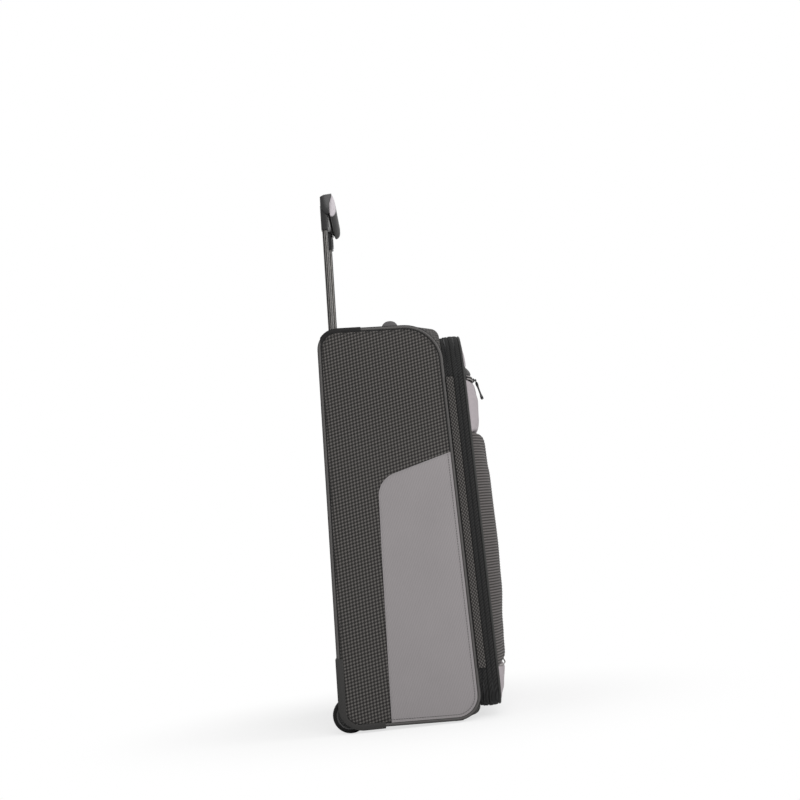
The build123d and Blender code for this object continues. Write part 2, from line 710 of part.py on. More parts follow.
with BuildPart() as hinge_strip:
    strip_x = -LID_HALF_WIDTH - HINGE_STRIP_THICKNESS - 0.1
    add(
        side_prism(
            (
                (HINGE_STRIP_BACK_AHEAD, HINGE_STRIP_BOTTOM),
                (HINGE_STRIP_FRONT_AHEAD, HINGE_STRIP_BOTTOM),
                (HINGE_STRIP_FRONT_AHEAD, HINGE_STRIP_TOP),
                (HINGE_STRIP_BACK_AHEAD, HINGE_STRIP_TOP),
            ),
            strip_x,
            strip_x + HINGE_STRIP_THICKNESS,
        )
    )
hinge_strip.part.label = "hinge_strip"
export_step(hinge_strip.part, "parts/hinge_strip.step")

with BuildPart() as expansion_tape_rear:
    add(lid_ring(EXPANSION_START_AHEAD, EXPANSION_ZIP_AHEAD - TAPE_GAP / 2, 0, TAPE_THICKNESS))
expansion_tape_rear.part.label = "expansion_tape_rear"
export_step(expansion_tape_rear.part, "parts/expansion_tape_rear.step")

with BuildPart() as expansion_tape_front:
    add(lid_ring(EXPANSION_ZIP_AHEAD + TAPE_GAP / 2, LID_PIPING_AHEAD, 0, TAPE_THICKNESS))
expansion_tape_front.part.label = "expansion_tape_front"
export_step(expansion_tape_front.part, "parts/expansion_tape_front.step")

with BuildPart() as lid_piping:
    add(
        round_ring(
            Plane.XZ.offset(-y_at(LID_PIPING_AHEAD + (LID_FACE_AHEAD - LID_PIPING_AHEAD) / 2)),
            (LID_FACE_AHEAD - LID_PIPING_AHEAD) / 2,
            (LID_FACE_AHEAD - LID_PIPING_AHEAD) / 2,
            lid_outline,
        )
    )
lid_piping.part.label = "lid_piping"
export_step(lid_piping.part, "parts/lid_piping.step")

PANEL_INSET = LID_FACE_AHEAD - LID_PIPING_AHEAD + 0.1
with BuildPart() as lid_panel:
    add(lid_plate(LID_FACE_AHEAD - LID_PANEL_THICKNESS, LID_FACE_AHEAD, PANEL_INSET))
lid_panel.part.label = "lid_panel"
export_step(lid_panel.part, "parts/lid_panel.step")

PANEL_BACK_AHEAD = LID_FACE_AHEAD - LID_PANEL_THICKNESS
with BuildPart() as lid_lining:
    add(lid_plate(PANEL_BACK_AHEAD - LINING_THICKNESS, PANEL_BACK_AHEAD, GUSSET_INSET + GUSSET_THICKNESS))
lid_lining.part.label = "lid_lining"
export_step(lid_lining.part, "parts/lid_lining.step")

# The folded gusset lets the lid's front move out when the expansion zip is open.
with BuildPart() as expansion_gusset:
    gusset_back = PANEL_BACK_AHEAD - GUSSET_DEPTH
    add(lid_ring(gusset_back, PANEL_BACK_AHEAD, GUSSET_INSET, GUSSET_INSET + GUSSET_THICKNESS))
expansion_gusset.part.label = "expansion_gusset"
export_step(expansion_gusset.part, "parts/expansion_gusset.step")

# ---------------------------------------------------------------- front pockets


def front_form(profile, low, high, reach, inset=0.0, shoulder=0.9):
    """A bulging form on the lid's face: its side profile crossed with its section from above."""
    half = LID_HALF_WIDTH - POCKET_EDGE_INSET - inset
    face = LID_FACE_AHEAD
    with BuildPart() as form:
        with BuildSketch(Plane.YZ.offset(-half)):
            with BuildLine():
                Polyline((y_at(face), low + inset), (y_at(profile[0][0] - inset), low + inset))
                fitted = profile_between(profile, low, high, inset)
                Spline(*[(y_at(ahead - inset), height) for ahead, height in fitted])
                Polyline((y_at(profile[-1][0] - inset), high - inset), (y_at(face), high - inset))
                Line((y_at(face), high - inset), (y_at(face), low + inset))
            make_face()
        extrude(amount=2 * half)
        with BuildSketch(Plane.XY.offset(low)):
            with BuildLine():
                Line((-half, y_at(face)), (half, y_at(face)))
                Line((half, y_at(face)), (half, y_at(face + 2.0)))
                shoulder_y = y_at(face + (reach - face) * shoulder - inset)
                for side in (1, -1):
                    Spline(
                        (side * half, y_at(face + 2.0)),
                        (side * (half - POCKET_SIDE_RUN / 3), y_at(face + (reach - face) * 0.62 - inset)),
                        (side * (half - POCKET_SIDE_RUN), shoulder_y),
                    )
                if shoulder < 1:
                    ThreePointArc(
                        (half - POCKET_SIDE_RUN, shoulder_y),
                        (0, y_at(reach - inset)),
                        (POCKET_SIDE_RUN - half, shoulder_y),
                    )
                else:
                    Line((half - POCKET_SIDE_RUN, shoulder_y), (POCKET_SIDE_RUN - half, shoulder_y))
                Line((-half, y_at(face + 2.0)), (-half, y_at(face)))
            make_face()
        extrude(amount=high - low, mode=Mode.INTERSECT)
        add(lid_plate(face, FRONT_REACH + 50, POCKET_EDGE_INSET + inset), mode=Mode.INTERSECT)
    return form.part


def profile_between(profile, low, high, inset):
    """The profile's points, fitted between two heights that are drawn in by the inset."""
    start, end = profile[0][1], profile[-1][1]
    stretch = (high - low - 2 * inset) / (end - start)
    return [(ahead, low + inset + (height - start) * stretch) for ahead, height in profile]


TRIM_PROFILE = (
    (278.5, TRIM_TOP_HEIGHT),
    (278.0, 652.0),
    (275.5, 671.0),
    (273.0, LID_TOP - POCKET_EDGE_INSET),
)
HOOD_PROFILE = ((287.5, HOOD_HEIGHT), (287.0, 624.0), (280.0, TRIM_TOP_HEIGHT))
UPPER_PROFILE = (
    (289.0, UPPER_POCKET_BOTTOM),
    (293.5, 540.0),
    (295.4, 575.0),
    (291.0, ZIP_SEAM_HEIGHT),
)
RIBBED_PROFILE = (
    (289.6, RIBBED_POCKET_BOTTOM),
    (292.0, 107.0),
    (294.5, 165.0),
    (301.0, 236.0),
    (FRONT_REACH, 312.0),
    (302.0, 420.0),
    (299.5, 490.0),
    (291.0, UPPER_POCKET_BOTTOM - SEAM_GAP),
)
LOWER_PROFILE = (
    (272.5, LID_BOTTOM + POCKET_EDGE_INSET),
    (277.5, 33.0),
    (283.5, 52.0),
    (289.0, RIBBED_POCKET_BOTTOM - SEAM_GAP),
)

with BuildPart() as upper_trim:
    add(front_form(TRIM_PROFILE, TRIM_TOP_HEIGHT + SEAM_GAP, LID_TOP - POCKET_EDGE_INSET, 280.0))
upper_trim.part.label = "upper_trim"
export_step(upper_trim.part, "parts/upper_trim.step")

with BuildPart() as zip_hood:
    add(front_form(HOOD_PROFILE, HOOD_HEIGHT, TRIM_TOP_HEIGHT, 289.0))
zip_hood.part.label = "zip_hood"
export_step(zip_hood.part, "parts/zip_hood.step")

with BuildPart() as pocket_zip_tape:
    zip_low = ZIP_SEAM_HEIGHT + SEAM_GAP
    zip_high = HOOD_HEIGHT - SEAM_GAP
    zip_profile = ((ZIP_TAPE_REACH, zip_low), (ZIP_TAPE_REACH, zip_high))
    add(front_form(zip_profile, zip_low, zip_high, ZIP_TAPE_REACH, shoulder=1.0))
pocket_zip_tape.part.label = "pocket_zip_tape"
export_step(pocket_zip_tape.part, "parts/pocket_zip_tape.step")

with BuildPart() as upper_pocket:
    upper_form = (UPPER_PROFILE, UPPER_POCKET_BOTTOM, ZIP_SEAM_HEIGHT, UPPER_REACH)
    add(front_form(*upper_form))
    add(front_form(*upper_form, POCKET_WALL), mode=Mode.SUBTRACT)
upper_pocket.part.label = "upper_pocket"
export_step(upper_pocket.part, "parts/upper_pocket.step")

with BuildPart() as ribbed_pocket:
    ribbed_form = (RIBBED_PROFILE, RIBBED_POCKET_BOTTOM, UPPER_POCKET_BOTTOM - SEAM_GAP, FRONT_REACH)
    add(front_form(*ribbed_form))
    add(front_form(*ribbed_form, POCKET_WALL), mode=Mode.SUBTRACT)
ribbed_pocket.part.label = "ribbed_pocket"
export_step(ribbed_pocket.part, "parts/ribbed_pocket.step")

with BuildPart() as lower_trim:
    add(front_form(LOWER_PROFILE, LID_BOTTOM + POCKET_EDGE_INSET, RIBBED_POCKET_BOTTOM - SEAM_GAP, 291.0))
lower_trim.part.label = "lower_trim"
export_step(lower_trim.part, "parts/lower_trim.step")

# ---------------------------------------------------------------- trolley

with BuildPart() as inner_tubes:
    with BuildSketch(TROLLEY.offset(TUBE_BOTTOM_RISE)):
        with GridLocations(TUBE_SPACING, 1, 2, 1):
            RectangleRounded(TUBE_WIDTH, TUBE_DEPTH, TUBE_CORNER)
            bore_corner = TUBE_CORNER - TUBE_WALL
            bore_width = TUBE_WIDTH - 2 * TUBE_WALL
            bore_depth = TUBE_DEPTH - 2 * TUBE_WALL
            RectangleRounded(bore_width, bore_depth, bore_corner, mode=Mode.SUBTRACT)
        flute_out = FLUTE_RADIUS - FLUTE_DEPTH
        for tube_side in (-1, 1):
            tube_x = tube_side * TUBE_SPACING / 2
            flutes = [
                (tube_x + across * TUBE_WIDTH / 6, along * (TUBE_DEPTH / 2 + flute_out))
                for across in (-1, 1)
                for along in (-1, 1)
            ]
            flutes += [(tube_x + across * (TUBE_WIDTH / 2 + flute_out), 0) for across in (-1, 1)]
            with Locations(*flutes):
                Circle(FLUTE_RADIUS, mode=Mode.SUBTRACT)
    extrude(amount=TUBE_TOP_RISE - TUBE_BOTTOM_RISE)
inner_tubes.part.label = "inner_tubes"
export_step(inner_tubes.part, "parts/inner_tubes.step")

# Each stop bush plugs a tube's lower end and guides it in the outer tube.
BUSH_SLIP = 0.1
BUSH_PLUG = 8.0
with BuildPart() as stop_bushes:
    with BuildSketch(TROLLEY.offset(TUBE_BOTTOM_RISE - STOP_BUSH_LENGTH)):
        with GridLocations(TUBE_SPACING, 1, 2, 1):
            bush_slack = 2 * (TUBE_SLIP - BUSH_SLIP)
            RectangleRounded(TUBE_WIDTH + bush_slack, TUBE_DEPTH + bush_slack, TUBE_CORNER)
    extrude(amount=STOP_BUSH_LENGTH)
    with BuildSketch(TROLLEY.offset(TUBE_BOTTOM_RISE)):
        with GridLocations(TUBE_SPACING, 1, 2, 1):
            plug_slack = 2 * (TUBE_WALL + BUSH_SLIP)
            RectangleRounded(TUBE_WIDTH - plug_slack, TUBE_DEPTH - plug_slack, bore_corner - BUSH_SLIP)
    extrude(amount=BUSH_PLUG)
stop_bushes.part.label = "stop_bushes"
export_step(stop_bushes.part, "parts/stop_bushes.step")

OUTER_TUBE_TOP_RISE = -RECESS_DEPTH - TRAY_WALL - 1.0
with BuildPart() as outer_tubes:
    with BuildSketch(TROLLEY.offset(OUTER_TUBE_END_RISE)):
        with GridLocations(TUBE_SPACING, 1, 2, 1):
            RectangleRounded(OUTER_TUBE_WIDTH, OUTER_TUBE_DEPTH, TUBE_CORNER + TUBE_SLIP + OUTER_TUBE_WALL)
            guide_slack = 2 * TUBE_SLIP
            RectangleRounded(
                TUBE_WIDTH + guide_slack, TUBE_DEPTH + guide_slack, TUBE_CORNER, mode=Mode.SUBTRACT
            )
    extrude(amount=OUTER_TUBE_TOP_RISE - OUTER_TUBE_END_RISE)
outer_tubes.part.label = "outer_tubes"
export_step(outer_tubes.part, "parts/outer_tubes.step")

BACK_INNER = (TUBE_AHEAD - BACK_TOP_AHEAD) * math.cos(LEAN) - CLOTH
TUBE_FRONT = -OUTER_TUBE_DEPTH / 2
with BuildPart() as base_bracket:
    bracket_front = TUBE_FRONT - 3.0
    with BuildSketch(TROLLEY.offset(OUTER_TUBE_END_RISE + BRACKET_SOCKET - BRACKET_HEIGHT)):
        with Locations((0, (BACK_INNER + bracket_front) / 2)):
            Rectangle(2 * BRACKET_HALF_WIDTH, BACK_INNER - bracket_front)
    extrude(amount=BRACKET_HEIGHT)
    with BuildSketch(TROLLEY.offset(OUTER_TUBE_END_RISE)):
        with GridLocations(TUBE_SPACING, 1, 2, 1):
            socket_slack = 0.1
            RectangleRounded(OUTER_TUBE_WIDTH + socket_slack, OUTER_TUBE_DEPTH + socket_slack, TUBE_CORNER)
    extrude(amount=BRACKET_SOCKET, mode=Mode.SUBTRACT)
base_bracket.part.label = "base_bracket"
export_step(base_bracket.part, "parts/base_bracket.step")


def back_layer(front_of_tubes, thickness, half_width, low, high):
    """A flat layer in front of the outer tubes, square to them."""
    with BuildPart() as layer:
        with BuildSketch(TROLLEY.offset(low - BACK_TOP_HEIGHT)):
            with Locations((0, TUBE_FRONT - front_of_tubes - thickness / 2)):
                Rectangle(2 * half_width, thickness)
        extrude(amount=high - low)
    return layer.part


BOARD_GAP = 0.2
BOARD_BOTTOM = TUBE_END_HEIGHT + BRACKET_SOCKET + BOARD_GAP
BOARD_HALF_WIDTH = SIDE_INNER_X - BOARD_MARGIN
with BuildPart() as back_board:
    add(back_layer(BOARD_GAP, BOARD_THICKNESS, BOARD_HALF_WIDTH, BOARD_BOTTOM, BOARD_TOP))
back_board.part.label = "back_board"
export_step(back_board.part, "parts/back_board.step")

with BuildPart() as back_lining:
    add(
        back_layer(BOARD_GAP + BOARD_THICKNESS, LINING_THICKNESS, BOARD_HALF_WIDTH, BOARD_BOTTOM, BOARD_TOP)
    )
back_lining.part.label = "back_lining"
export_step(back_lining.part, "parts/back_lining.step")

STRAP_OUT = BOARD_GAP + BOARD_THICKNESS + LINING_THICKNESS
with BuildPart() as packing_straps:
    for height in STRAP_HEIGHTS:
        strap_low = height - STRAP_WIDTH / 2
        add(back_layer(STRAP_OUT, STRAP_THICKNESS, STRAP_HALF_SPAN, strap_low, strap_low + STRAP_WIDTH))
packing_straps.part.label = "packing_straps"
export_step(packing_straps.part, "parts/packing_straps.step")

with BuildPart() as strap_buckles:
    for height in STRAP_HEIGHTS:
        add(
            back_layer(
                STRAP_OUT + STRAP_THICKNESS,
                BUCKLE_THICKNESS,
                BUCKLE_WIDTH / 2,
                height - BUCKLE_HEIGHT / 2,
                height + BUCKLE_HEIGHT / 2,
            )
        )
strap_buckles.part.label = "strap_buckles"
export_step(strap_buckles.part, "parts/strap_buckles.step")

with BuildPart() as frame_wire:
    wire_ahead = FRONT_AHEAD - CLOTH - WIRE_RADIUS - 0.3
    wire_inset = LID_HALF_WIDTH - SIDE_INNER_X + BINDING_WIDTH + WIRE_RADIUS + 0.2
    add(round_ring(Plane.XZ.offset(-y_at(wire_ahead)), wire_inset, WIRE_RADIUS, lid_outline))
frame_wire.part.label = "frame_wire"
export_step(frame_wire.part, "parts/frame_wire.step")

# Grip, as points forward of the tubes' axis and up along it.
GRIP_TOP_BACK = (-4.9, 270.5)
GRIP_TOP_FRONT = (17.2, 275.5)
GRIP_SPLIT_TOP = (11.3, 257.0)
GRIP_SPLIT_BOTTOM = (11.3, 240.0)
SOCKET_FRONT = 7.6
SOCKET_BACK = -6.2
BAR_LOW = 254.0
BAR_REST = 258.0
with BuildPart() as grip_shell:
    with BuildSketch(TROLLEY_SIDE):
        with BuildLine():
            Polyline(
                (-5.3, 249.0),
                GRIP_TOP_BACK,
                (2.0, 274.0),
                GRIP_TOP_FRONT,
                GRIP_SPLIT_TOP,
                GRIP_SPLIT_BOTTOM,
                (8.0, 236.0),
                (2.0, 240.0),
                close=True,
            )
        make_face()
    extrude(amount=GRIP_HALF_WIDTH, both=True)
    for tube_side in (-1, 1):
        with BuildSketch(TROLLEY.offset(SOCKET_BOTTOM_RISE)):
            with Locations((tube_side * TUBE_SPACING / 2, -(SOCKET_FRONT + SOCKET_BACK) / 2)):
                RectangleRounded(SOCKET_WIDTH, SOCKET_FRONT - SOCKET_BACK, 4.0)
        extrude(amount=BAR_LOW - SOCKET_BOTTOM_RISE)
    with BuildSketch(TROLLEY.offset(SOCKET_BOTTOM_RISE)):
        with GridLocations(TUBE_SPACING, 1, 2, 1):
            RectangleRounded(TUBE_WIDTH + 0.1, TUBE_DEPTH + 0.1, TUBE_CORNER)
    extrude(amount=TUBE_TOP_RISE - SOCKET_BOTTOM_RISE, mode=Mode.SUBTRACT)
    # Room for the push bar and its rods.
    with BuildSketch(TROLLEY.offset(BAR_LOW - 1.0)):
        Rectangle(TUBE_SPACING + 4 * PUSH_ROD_RADIUS, 6.0)
    extrude(amount=BAR_REST + PUSH_BAR_THICKNESS + 0.5 - BAR_LOW + 1.0, mode=Mode.SUBTRACT)
    with BuildSketch(TROLLEY.offset(TUBE_TOP_RISE - 1.0)):
        with GridLocations(TUBE_SPACING, 1, 2, 1):
            Circle(PUSH_ROD_RADIUS + BUTTON_CLEARANCE)
    extrude(amount=BAR_LOW - TUBE_TOP_RISE + 1.0, mode=Mode.SUBTRACT)
    with BuildSketch(TROLLEY.offset(BAR_LOW - 1.0)):
        with Locations((0, -4.0)):
            Rectangle(BUTTON_WIDTH + 2 * BUTTON_CLEARANCE, BUTTON_DEPTH - 2.0 + 2 * BUTTON_CLEARANCE)
    extrude(amount=40, mode=Mode.SUBTRACT)
grip_shell.part.label = "grip_shell"
export_step(grip_shell.part, "parts/grip_shell.step")

with BuildPart() as grip_insert:
    with BuildSketch(TROLLEY_SIDE):
        with BuildLine():
            Polyline(
                (GRIP_SPLIT_BOTTOM[0] + 0.1, GRIP_SPLIT_BOTTOM[1]),
                (GRIP_SPLIT_TOP[0] + 0.1, GRIP_SPLIT_TOP[1]),
                (GRIP_TOP_FRONT[0] + 0.1, GRIP_TOP_FRONT[1] - 0.3),
            )
            Spline(
                (GRIP_TOP_FRONT[0] + 0.1, GRIP_TOP_FRONT[1] - 0.3),
                (22.3, 262.0),
                (23.5, 248.0),
                (20.5, 236.5),
                (15.5, 233.0),
                (GRIP_SPLIT_BOTTOM[0] + 0.1, GRIP_SPLIT_BOTTOM[1]),
            )
        make_face()
    extrude(amount=GRIP_HALF_WIDTH - 4.0, both=True)
grip_insert.part.label = "grip_insert"
export_step(grip_insert.part, "parts/grip_insert.step")

with BuildPart() as release_button:
    with BuildSketch(TROLLEY.offset(BAR_REST + PUSH_BAR_THICKNESS)):
        with Locations((0, -4.0)):
            Rectangle(BUTTON_WIDTH, BUTTON_DEPTH - 2.0)
    extrude(amount=GRIP_TOP_FRONT[1] - 1.2 + BUTTON_PROUD - BAR_REST - PUSH_BAR_THICKNESS)
release_button.part.label = "release_button"
export_step(release_button.part, "parts/release_button.step")

with BuildPart() as push_bar:
    with BuildSketch(TROLLEY.offset(BAR_REST)):
        Rectangle(TUBE_SPACING + 2 * PUSH_ROD_RADIUS, 5.0)
    extrude(amount=PUSH_BAR_THICKNESS)
    with BuildSketch(TROLLEY.offset(TUBE_BOTTOM_RISE + BUSH_PLUG + 3 * BUTTON_TRAVEL)):
        with GridLocations(TUBE_SPACING, 1, 2, 1):
            Circle(PUSH_ROD_RADIUS)
    extrude(amount=BAR_REST - TUBE_BOTTOM_RISE - BUSH_PLUG - 3 * BUTTON_TRAVEL)
push_bar.part.label = "push_bar"
export_step(push_bar.part, "parts/push_bar.step")

# ---------------------------------------------------------------- feet and top handle

with BuildPart() as front_feet:
    for side in SIDE_NAMES:
        middle_x = side * FOOT_MIDDLE
        add(
            side_prism(
                (
                    (FOOT_BACK_AHEAD, bottom_height(FOOT_BACK_AHEAD)),
                    (FOOT_FRONT_AHEAD, bottom_height(FOOT_FRONT_AHEAD)),
                    (FOOT_FRONT_AHEAD - FOOT_TAPER, 0),
                    (FOOT_BACK_AHEAD + FOOT_TAPER, 0),
                ),
                middle_x - FOOT_LENGTH / 2,
                middle_x + FOOT_LENGTH / 2,
            )
        )
front_feet.part.label = "front_feet"
export_step(front_feet.part, "parts/front_feet.step")

with BuildPart() as handle_anchors:
    back_edge = HANDLE_AHEAD - ANCHOR_WIDTH / 2
    front_edge = HANDLE_AHEAD + ANCHOR_WIDTH / 2
    for side in SIDE_NAMES:
        middle_x = side * HANDLE_LEG_SPACING / 2
        add(
            side_prism(
                (
                    (back_edge, top_height(back_edge)),
                    (front_edge, top_height(front_edge)),
                    (front_edge - 4, top_height(front_edge) + ANCHOR_RISE),
                    (back_edge + 4, top_height(back_edge) + ANCHOR_RISE),
                ),
                middle_x - ANCHOR_LENGTH / 2,
                middle_x + ANCHOR_LENGTH / 2,
            )
        )
    with BuildSketch(Plane.XY.offset(top_height(HANDLE_AHEAD) - 10)):
        with Locations((0, y_at(HANDLE_AHEAD))):
            with GridLocations(HANDLE_LEG_SPACING, 1, 2, 1):
                slot = 2 * ANCHOR_CLEARANCE
                RectangleRounded(HANDLE_THICKNESS + slot, HANDLE_WIDTH + slot, 6.0)
    extrude(amount=40, mode=Mode.SUBTRACT)
handle_anchors.part.label = "handle_anchors"
export_step(handle_anchors.part, "parts/handle_anchors.step")

with BuildPart() as carry_handle:
    half_span = HANDLE_LEG_SPACING / 2
    foot_height = top_height(HANDLE_AHEAD) + HANDLE_FOOT_RISE
    bar_height = top_height(HANDLE_AHEAD) + HANDLE_RISE - HANDLE_THICKNESS / 2
    with BuildLine(Plane.XZ.offset(-y_at(HANDLE_AHEAD))) as handle_path:
        FilletPolyline(
            (-half_span, foot_height),
            (-half_span, bar_height),
            (half_span, bar_height),
            (half_span, foot_height),
            radius=HANDLE_BEND,
        )
    with BuildSketch(Plane.XY.offset(foot_height)):
        with Locations((-half_span, y_at(HANDLE_AHEAD))):
            RectangleRounded(HANDLE_THICKNESS, HANDLE_WIDTH, 6.0)
    sweep()
carry_handle.part.label = "carry_handle"
export_step(carry_handle.part, "parts/carry_handle.step")

# ---------------------------------------------------------------- zip sliders and pulls

PIN_RISE = SLIDER_GAP + SLIDER_THICKNESS + BAIL_HEIGHT
EAR_THICKNESS = 0.8
EYE_WIDTH = 3.0


def zip_slider(plane, up_size, cross_size):
    """A slider on a tape: the plane's x points away from the pull and its z outwards."""
    with BuildPart() as slider:
        with BuildSketch(plane.offset(SLIDER_GAP)):
            RectangleRounded(up_size, cross_size, 1.5)
        extrude(amount=SLIDER_THICKNESS)
        with BuildSketch(plane.offset(SLIDER_GAP + SLIDER_THICKNESS)):
            with GridLocations(1, EYE_WIDTH + 0.6 + EAR_THICKNESS, 1, 2):
                Rectangle(3.0, EAR_THICKNESS)
        extrude(amount=BAIL_HEIGHT + BAIL_PIN_RADIUS + 0.5)
        pin_centre = plane.from_local_coords((0, 0, PIN_RISE))
        ear_plane = Plane(origin=pin_centre, x_dir=plane.x_dir, z_dir=plane.y_dir)
        with BuildSketch(ear_plane.offset(-EYE_WIDTH / 2 - 0.7)):
            Circle(BAIL_PIN_RADIUS)
        extrude(amount=EYE_WIDTH + 1.4)
    return slider.part


def zip_pull(plane, lean_degrees):
    """A flared pull that hangs from a slider's pin and leans outwards."""
    pin = plane.from_local_coords((0, 0, PIN_RISE))
    lean = math.radians(lean_degrees)
    hung = Plane(
        origin=pin,
        x_dir=plane.x_dir * math.cos(lean) - plane.z_dir * math.sin(lean),
        z_dir=plane.z_dir * math.cos(lean) + plane.x_dir * math.sin(lean),
    )
    with BuildPart() as pull:
        with BuildSketch(hung.offset(-PULL_THICKNESS / 2)):
            with BuildLine():
                Polyline(
                    (PULL_EYE_RADIUS + 0.6, EYE_WIDTH / 2),
                    (-6.0, EYE_WIDTH / 2),
                    (-10.0, PULL_WIDTH / 2),
                    (-PULL_LENGTH * 0.7, PULL_WIDTH / 2),
                    (-PULL_LENGTH, PULL_FLARE / 2),
                    (-PULL_LENGTH, -PULL_FLARE / 2),
                    (-PULL_LENGTH * 0.7, -PULL_WIDTH / 2),
                    (-10.0, -PULL_WIDTH / 2),
                    (-6.0, -EYE_WIDTH / 2),
                    (PULL_EYE_RADIUS + 0.6, -EYE_WIDTH / 2),
                    close=True,
                )
            make_face()
        extrude(amount=PULL_THICKNESS)
        pin_plane = Plane(origin=pin, x_dir=hung.x_dir, z_dir=hung.y_dir)
        with BuildSketch(pin_plane.offset(-EYE_WIDTH / 2)):
            Circle(PULL_EYE_RADIUS + 0.6)
        extrude(amount=EYE_WIDTH)
        with BuildSketch(pin_plane.offset(-EYE_WIDTH)):
            Circle(BAIL_PIN_RADIUS + 0.1)
        extrude(amount=2 * EYE_WIDTH, mode=Mode.SUBTRACT)
    return pull.part


def far_side_plane(ahead, height):
    return Plane(origin=(LID_HALF_WIDTH, y_at(ahead), height), x_dir=(0, 0, 1), z_dir=(1, 0, 0))


pocket_zip_middle = (ZIP_SEAM_HEIGHT + HOOD_HEIGHT) / 2
pocket_slider_at = (POCKET_SLIDER_X, y_at(ZIP_TAPE_REACH), pocket_zip_middle)
pocket_plane = Plane(origin=pocket_slider_at, x_dir=(0, 0, 1), z_dir=(0, -1, 0))
upright_size = (SLIDER_LENGTH, SLIDER_WIDTH)
sliders = {
    "main_slider_upper": (far_side_plane(MAIN_ZIP_AHEAD, MAIN_SLIDER_HEIGHT), *upright_size),
    "main_slider_lower": (far_side_plane(MAIN_ZIP_AHEAD, MAIN_SLIDER_HEIGHT - SLIDER_SPACING), *upright_size),
    "expansion_slider": (far_side_plane(EXPANSION_ZIP_AHEAD, EXPANSION_SLIDER_HEIGHT), *upright_size),
    "pocket_slider": (pocket_plane, HOOD_HEIGHT - ZIP_SEAM_HEIGHT - 3 * SEAM_GAP, SLIDER_LENGTH),
}
for slider_name, (slider_plane, up_size, cross_size) in sliders.items():
    slider_part = zip_slider(slider_plane, up_size, cross_size)
    slider_part.label = slider_name
    export_step(slider_part, f"parts/{slider_name}.step")
    pull_name = slider_name.replace("slider", "pull")
    pull_part = zip_pull(slider_plane, POCKET_PULL_LEAN if slider_name == "pocket_slider" else 0.0)
    pull_part.label = pull_name
    export_step(pull_part, f"parts/{pull_name}.step")
    pin_at = slider_plane.from_local_coords((0, 0, PIN_RISE))
    print(f"{pull_name} turns at ({pin_at.X:.3f}, {pin_at.Y:.3f}, {pin_at.Z:.3f})")

print(f"wheels turn at y {AXLE_Y:.3f}, z {WHEEL_RADIUS:.3f}; trolley axis {AXIS}")
print(f"lid hinge at x {-LID_HALF_WIDTH:.3f}, y {y_at(MAIN_ZIP_AHEAD):.3f}")
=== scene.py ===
"""Dresses a softside upright case: woven cloth, zips, pockets, trolley and wheels, on its solid frame."""

import json
import math

import bpy
import numpy
from mathutils import Matrix, Vector, noise

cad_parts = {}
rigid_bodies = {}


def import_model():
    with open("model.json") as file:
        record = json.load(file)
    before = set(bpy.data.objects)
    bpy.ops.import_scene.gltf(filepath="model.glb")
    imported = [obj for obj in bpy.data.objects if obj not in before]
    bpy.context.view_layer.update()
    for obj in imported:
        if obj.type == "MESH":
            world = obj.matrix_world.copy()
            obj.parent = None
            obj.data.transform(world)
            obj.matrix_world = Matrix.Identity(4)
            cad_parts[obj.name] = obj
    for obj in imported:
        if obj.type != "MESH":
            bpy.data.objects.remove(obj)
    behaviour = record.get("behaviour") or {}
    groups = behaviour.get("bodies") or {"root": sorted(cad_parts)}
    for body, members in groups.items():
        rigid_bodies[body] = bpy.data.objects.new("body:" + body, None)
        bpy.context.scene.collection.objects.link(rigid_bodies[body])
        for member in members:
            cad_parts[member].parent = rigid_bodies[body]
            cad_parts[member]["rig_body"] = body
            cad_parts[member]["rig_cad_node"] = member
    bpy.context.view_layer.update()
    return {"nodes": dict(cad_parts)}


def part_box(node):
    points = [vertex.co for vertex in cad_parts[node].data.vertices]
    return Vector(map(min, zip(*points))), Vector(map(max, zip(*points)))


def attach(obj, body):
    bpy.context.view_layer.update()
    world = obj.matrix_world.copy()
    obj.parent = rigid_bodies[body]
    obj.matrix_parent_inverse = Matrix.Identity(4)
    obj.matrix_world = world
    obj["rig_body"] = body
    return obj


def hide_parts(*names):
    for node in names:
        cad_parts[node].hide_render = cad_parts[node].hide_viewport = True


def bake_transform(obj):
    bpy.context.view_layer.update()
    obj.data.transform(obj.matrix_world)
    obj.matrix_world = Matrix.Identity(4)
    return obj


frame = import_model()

bl_info = {
    "name": "Softside upright case",
    "version": (1, 0, 0),
    "blender": (4, 5, 0),
    "location": "View3D > Sidebar > Case",
    "description": "Builds the cloth, trim and hardware of a softside upright case",
    "category": "Object",
}

MM = 0.001

# Heights and depths below are in millimetres; the front faces -Y and the hinge side is -X.
LID_HALF_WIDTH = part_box("lid_zip_tape")[1].x / MM
LID_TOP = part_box("lid_zip_tape")[1].z / MM
LID_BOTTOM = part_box("lid_zip_tape")[0].z / MM
LID_TOP_RADIUS = 85.0
LID_BOTTOM_RADIUS = 62.0
POCKET_INSET = 7.0
POCKET_SIDE_RUN = 80.0
FACE_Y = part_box("lid_panel")[0].y / MM
MAIN_ZIP_Y = (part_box("case_zip_tape")[0].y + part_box("lid_zip_tape")[1].y) / 2 / MM
EXPANSION_ZIP_Y = (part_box("expansion_tape_rear")[0].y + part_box("expansion_tape_front")[1].y) / 2 / MM
AXLE_Y = (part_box("tyre_left")[0].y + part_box("tyre_left")[1].y) / 2 / MM
WHEEL_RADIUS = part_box("tyre_left")[1].z / MM / 2
LEAN = math.radians(2.459)
POCKET_PULL_LEAN = math.radians(14.0)
BACK_TOP_HEIGHT = 725.0
TUBE_AHEAD = 33.8
TOOTH_INSET = 1.3
GRIP_CAP_X = 107.0
# The side's corners as distance ahead of the axle and height, and the radius of each.
SIDE_CORNERS = ((-18.3, 10.2), (12.4, BACK_TOP_HEIGHT), (234.5, 713.9), (234.5, 2.6))
SIDE_RADII = (40.0, 36.0, 70.0, 44.0)
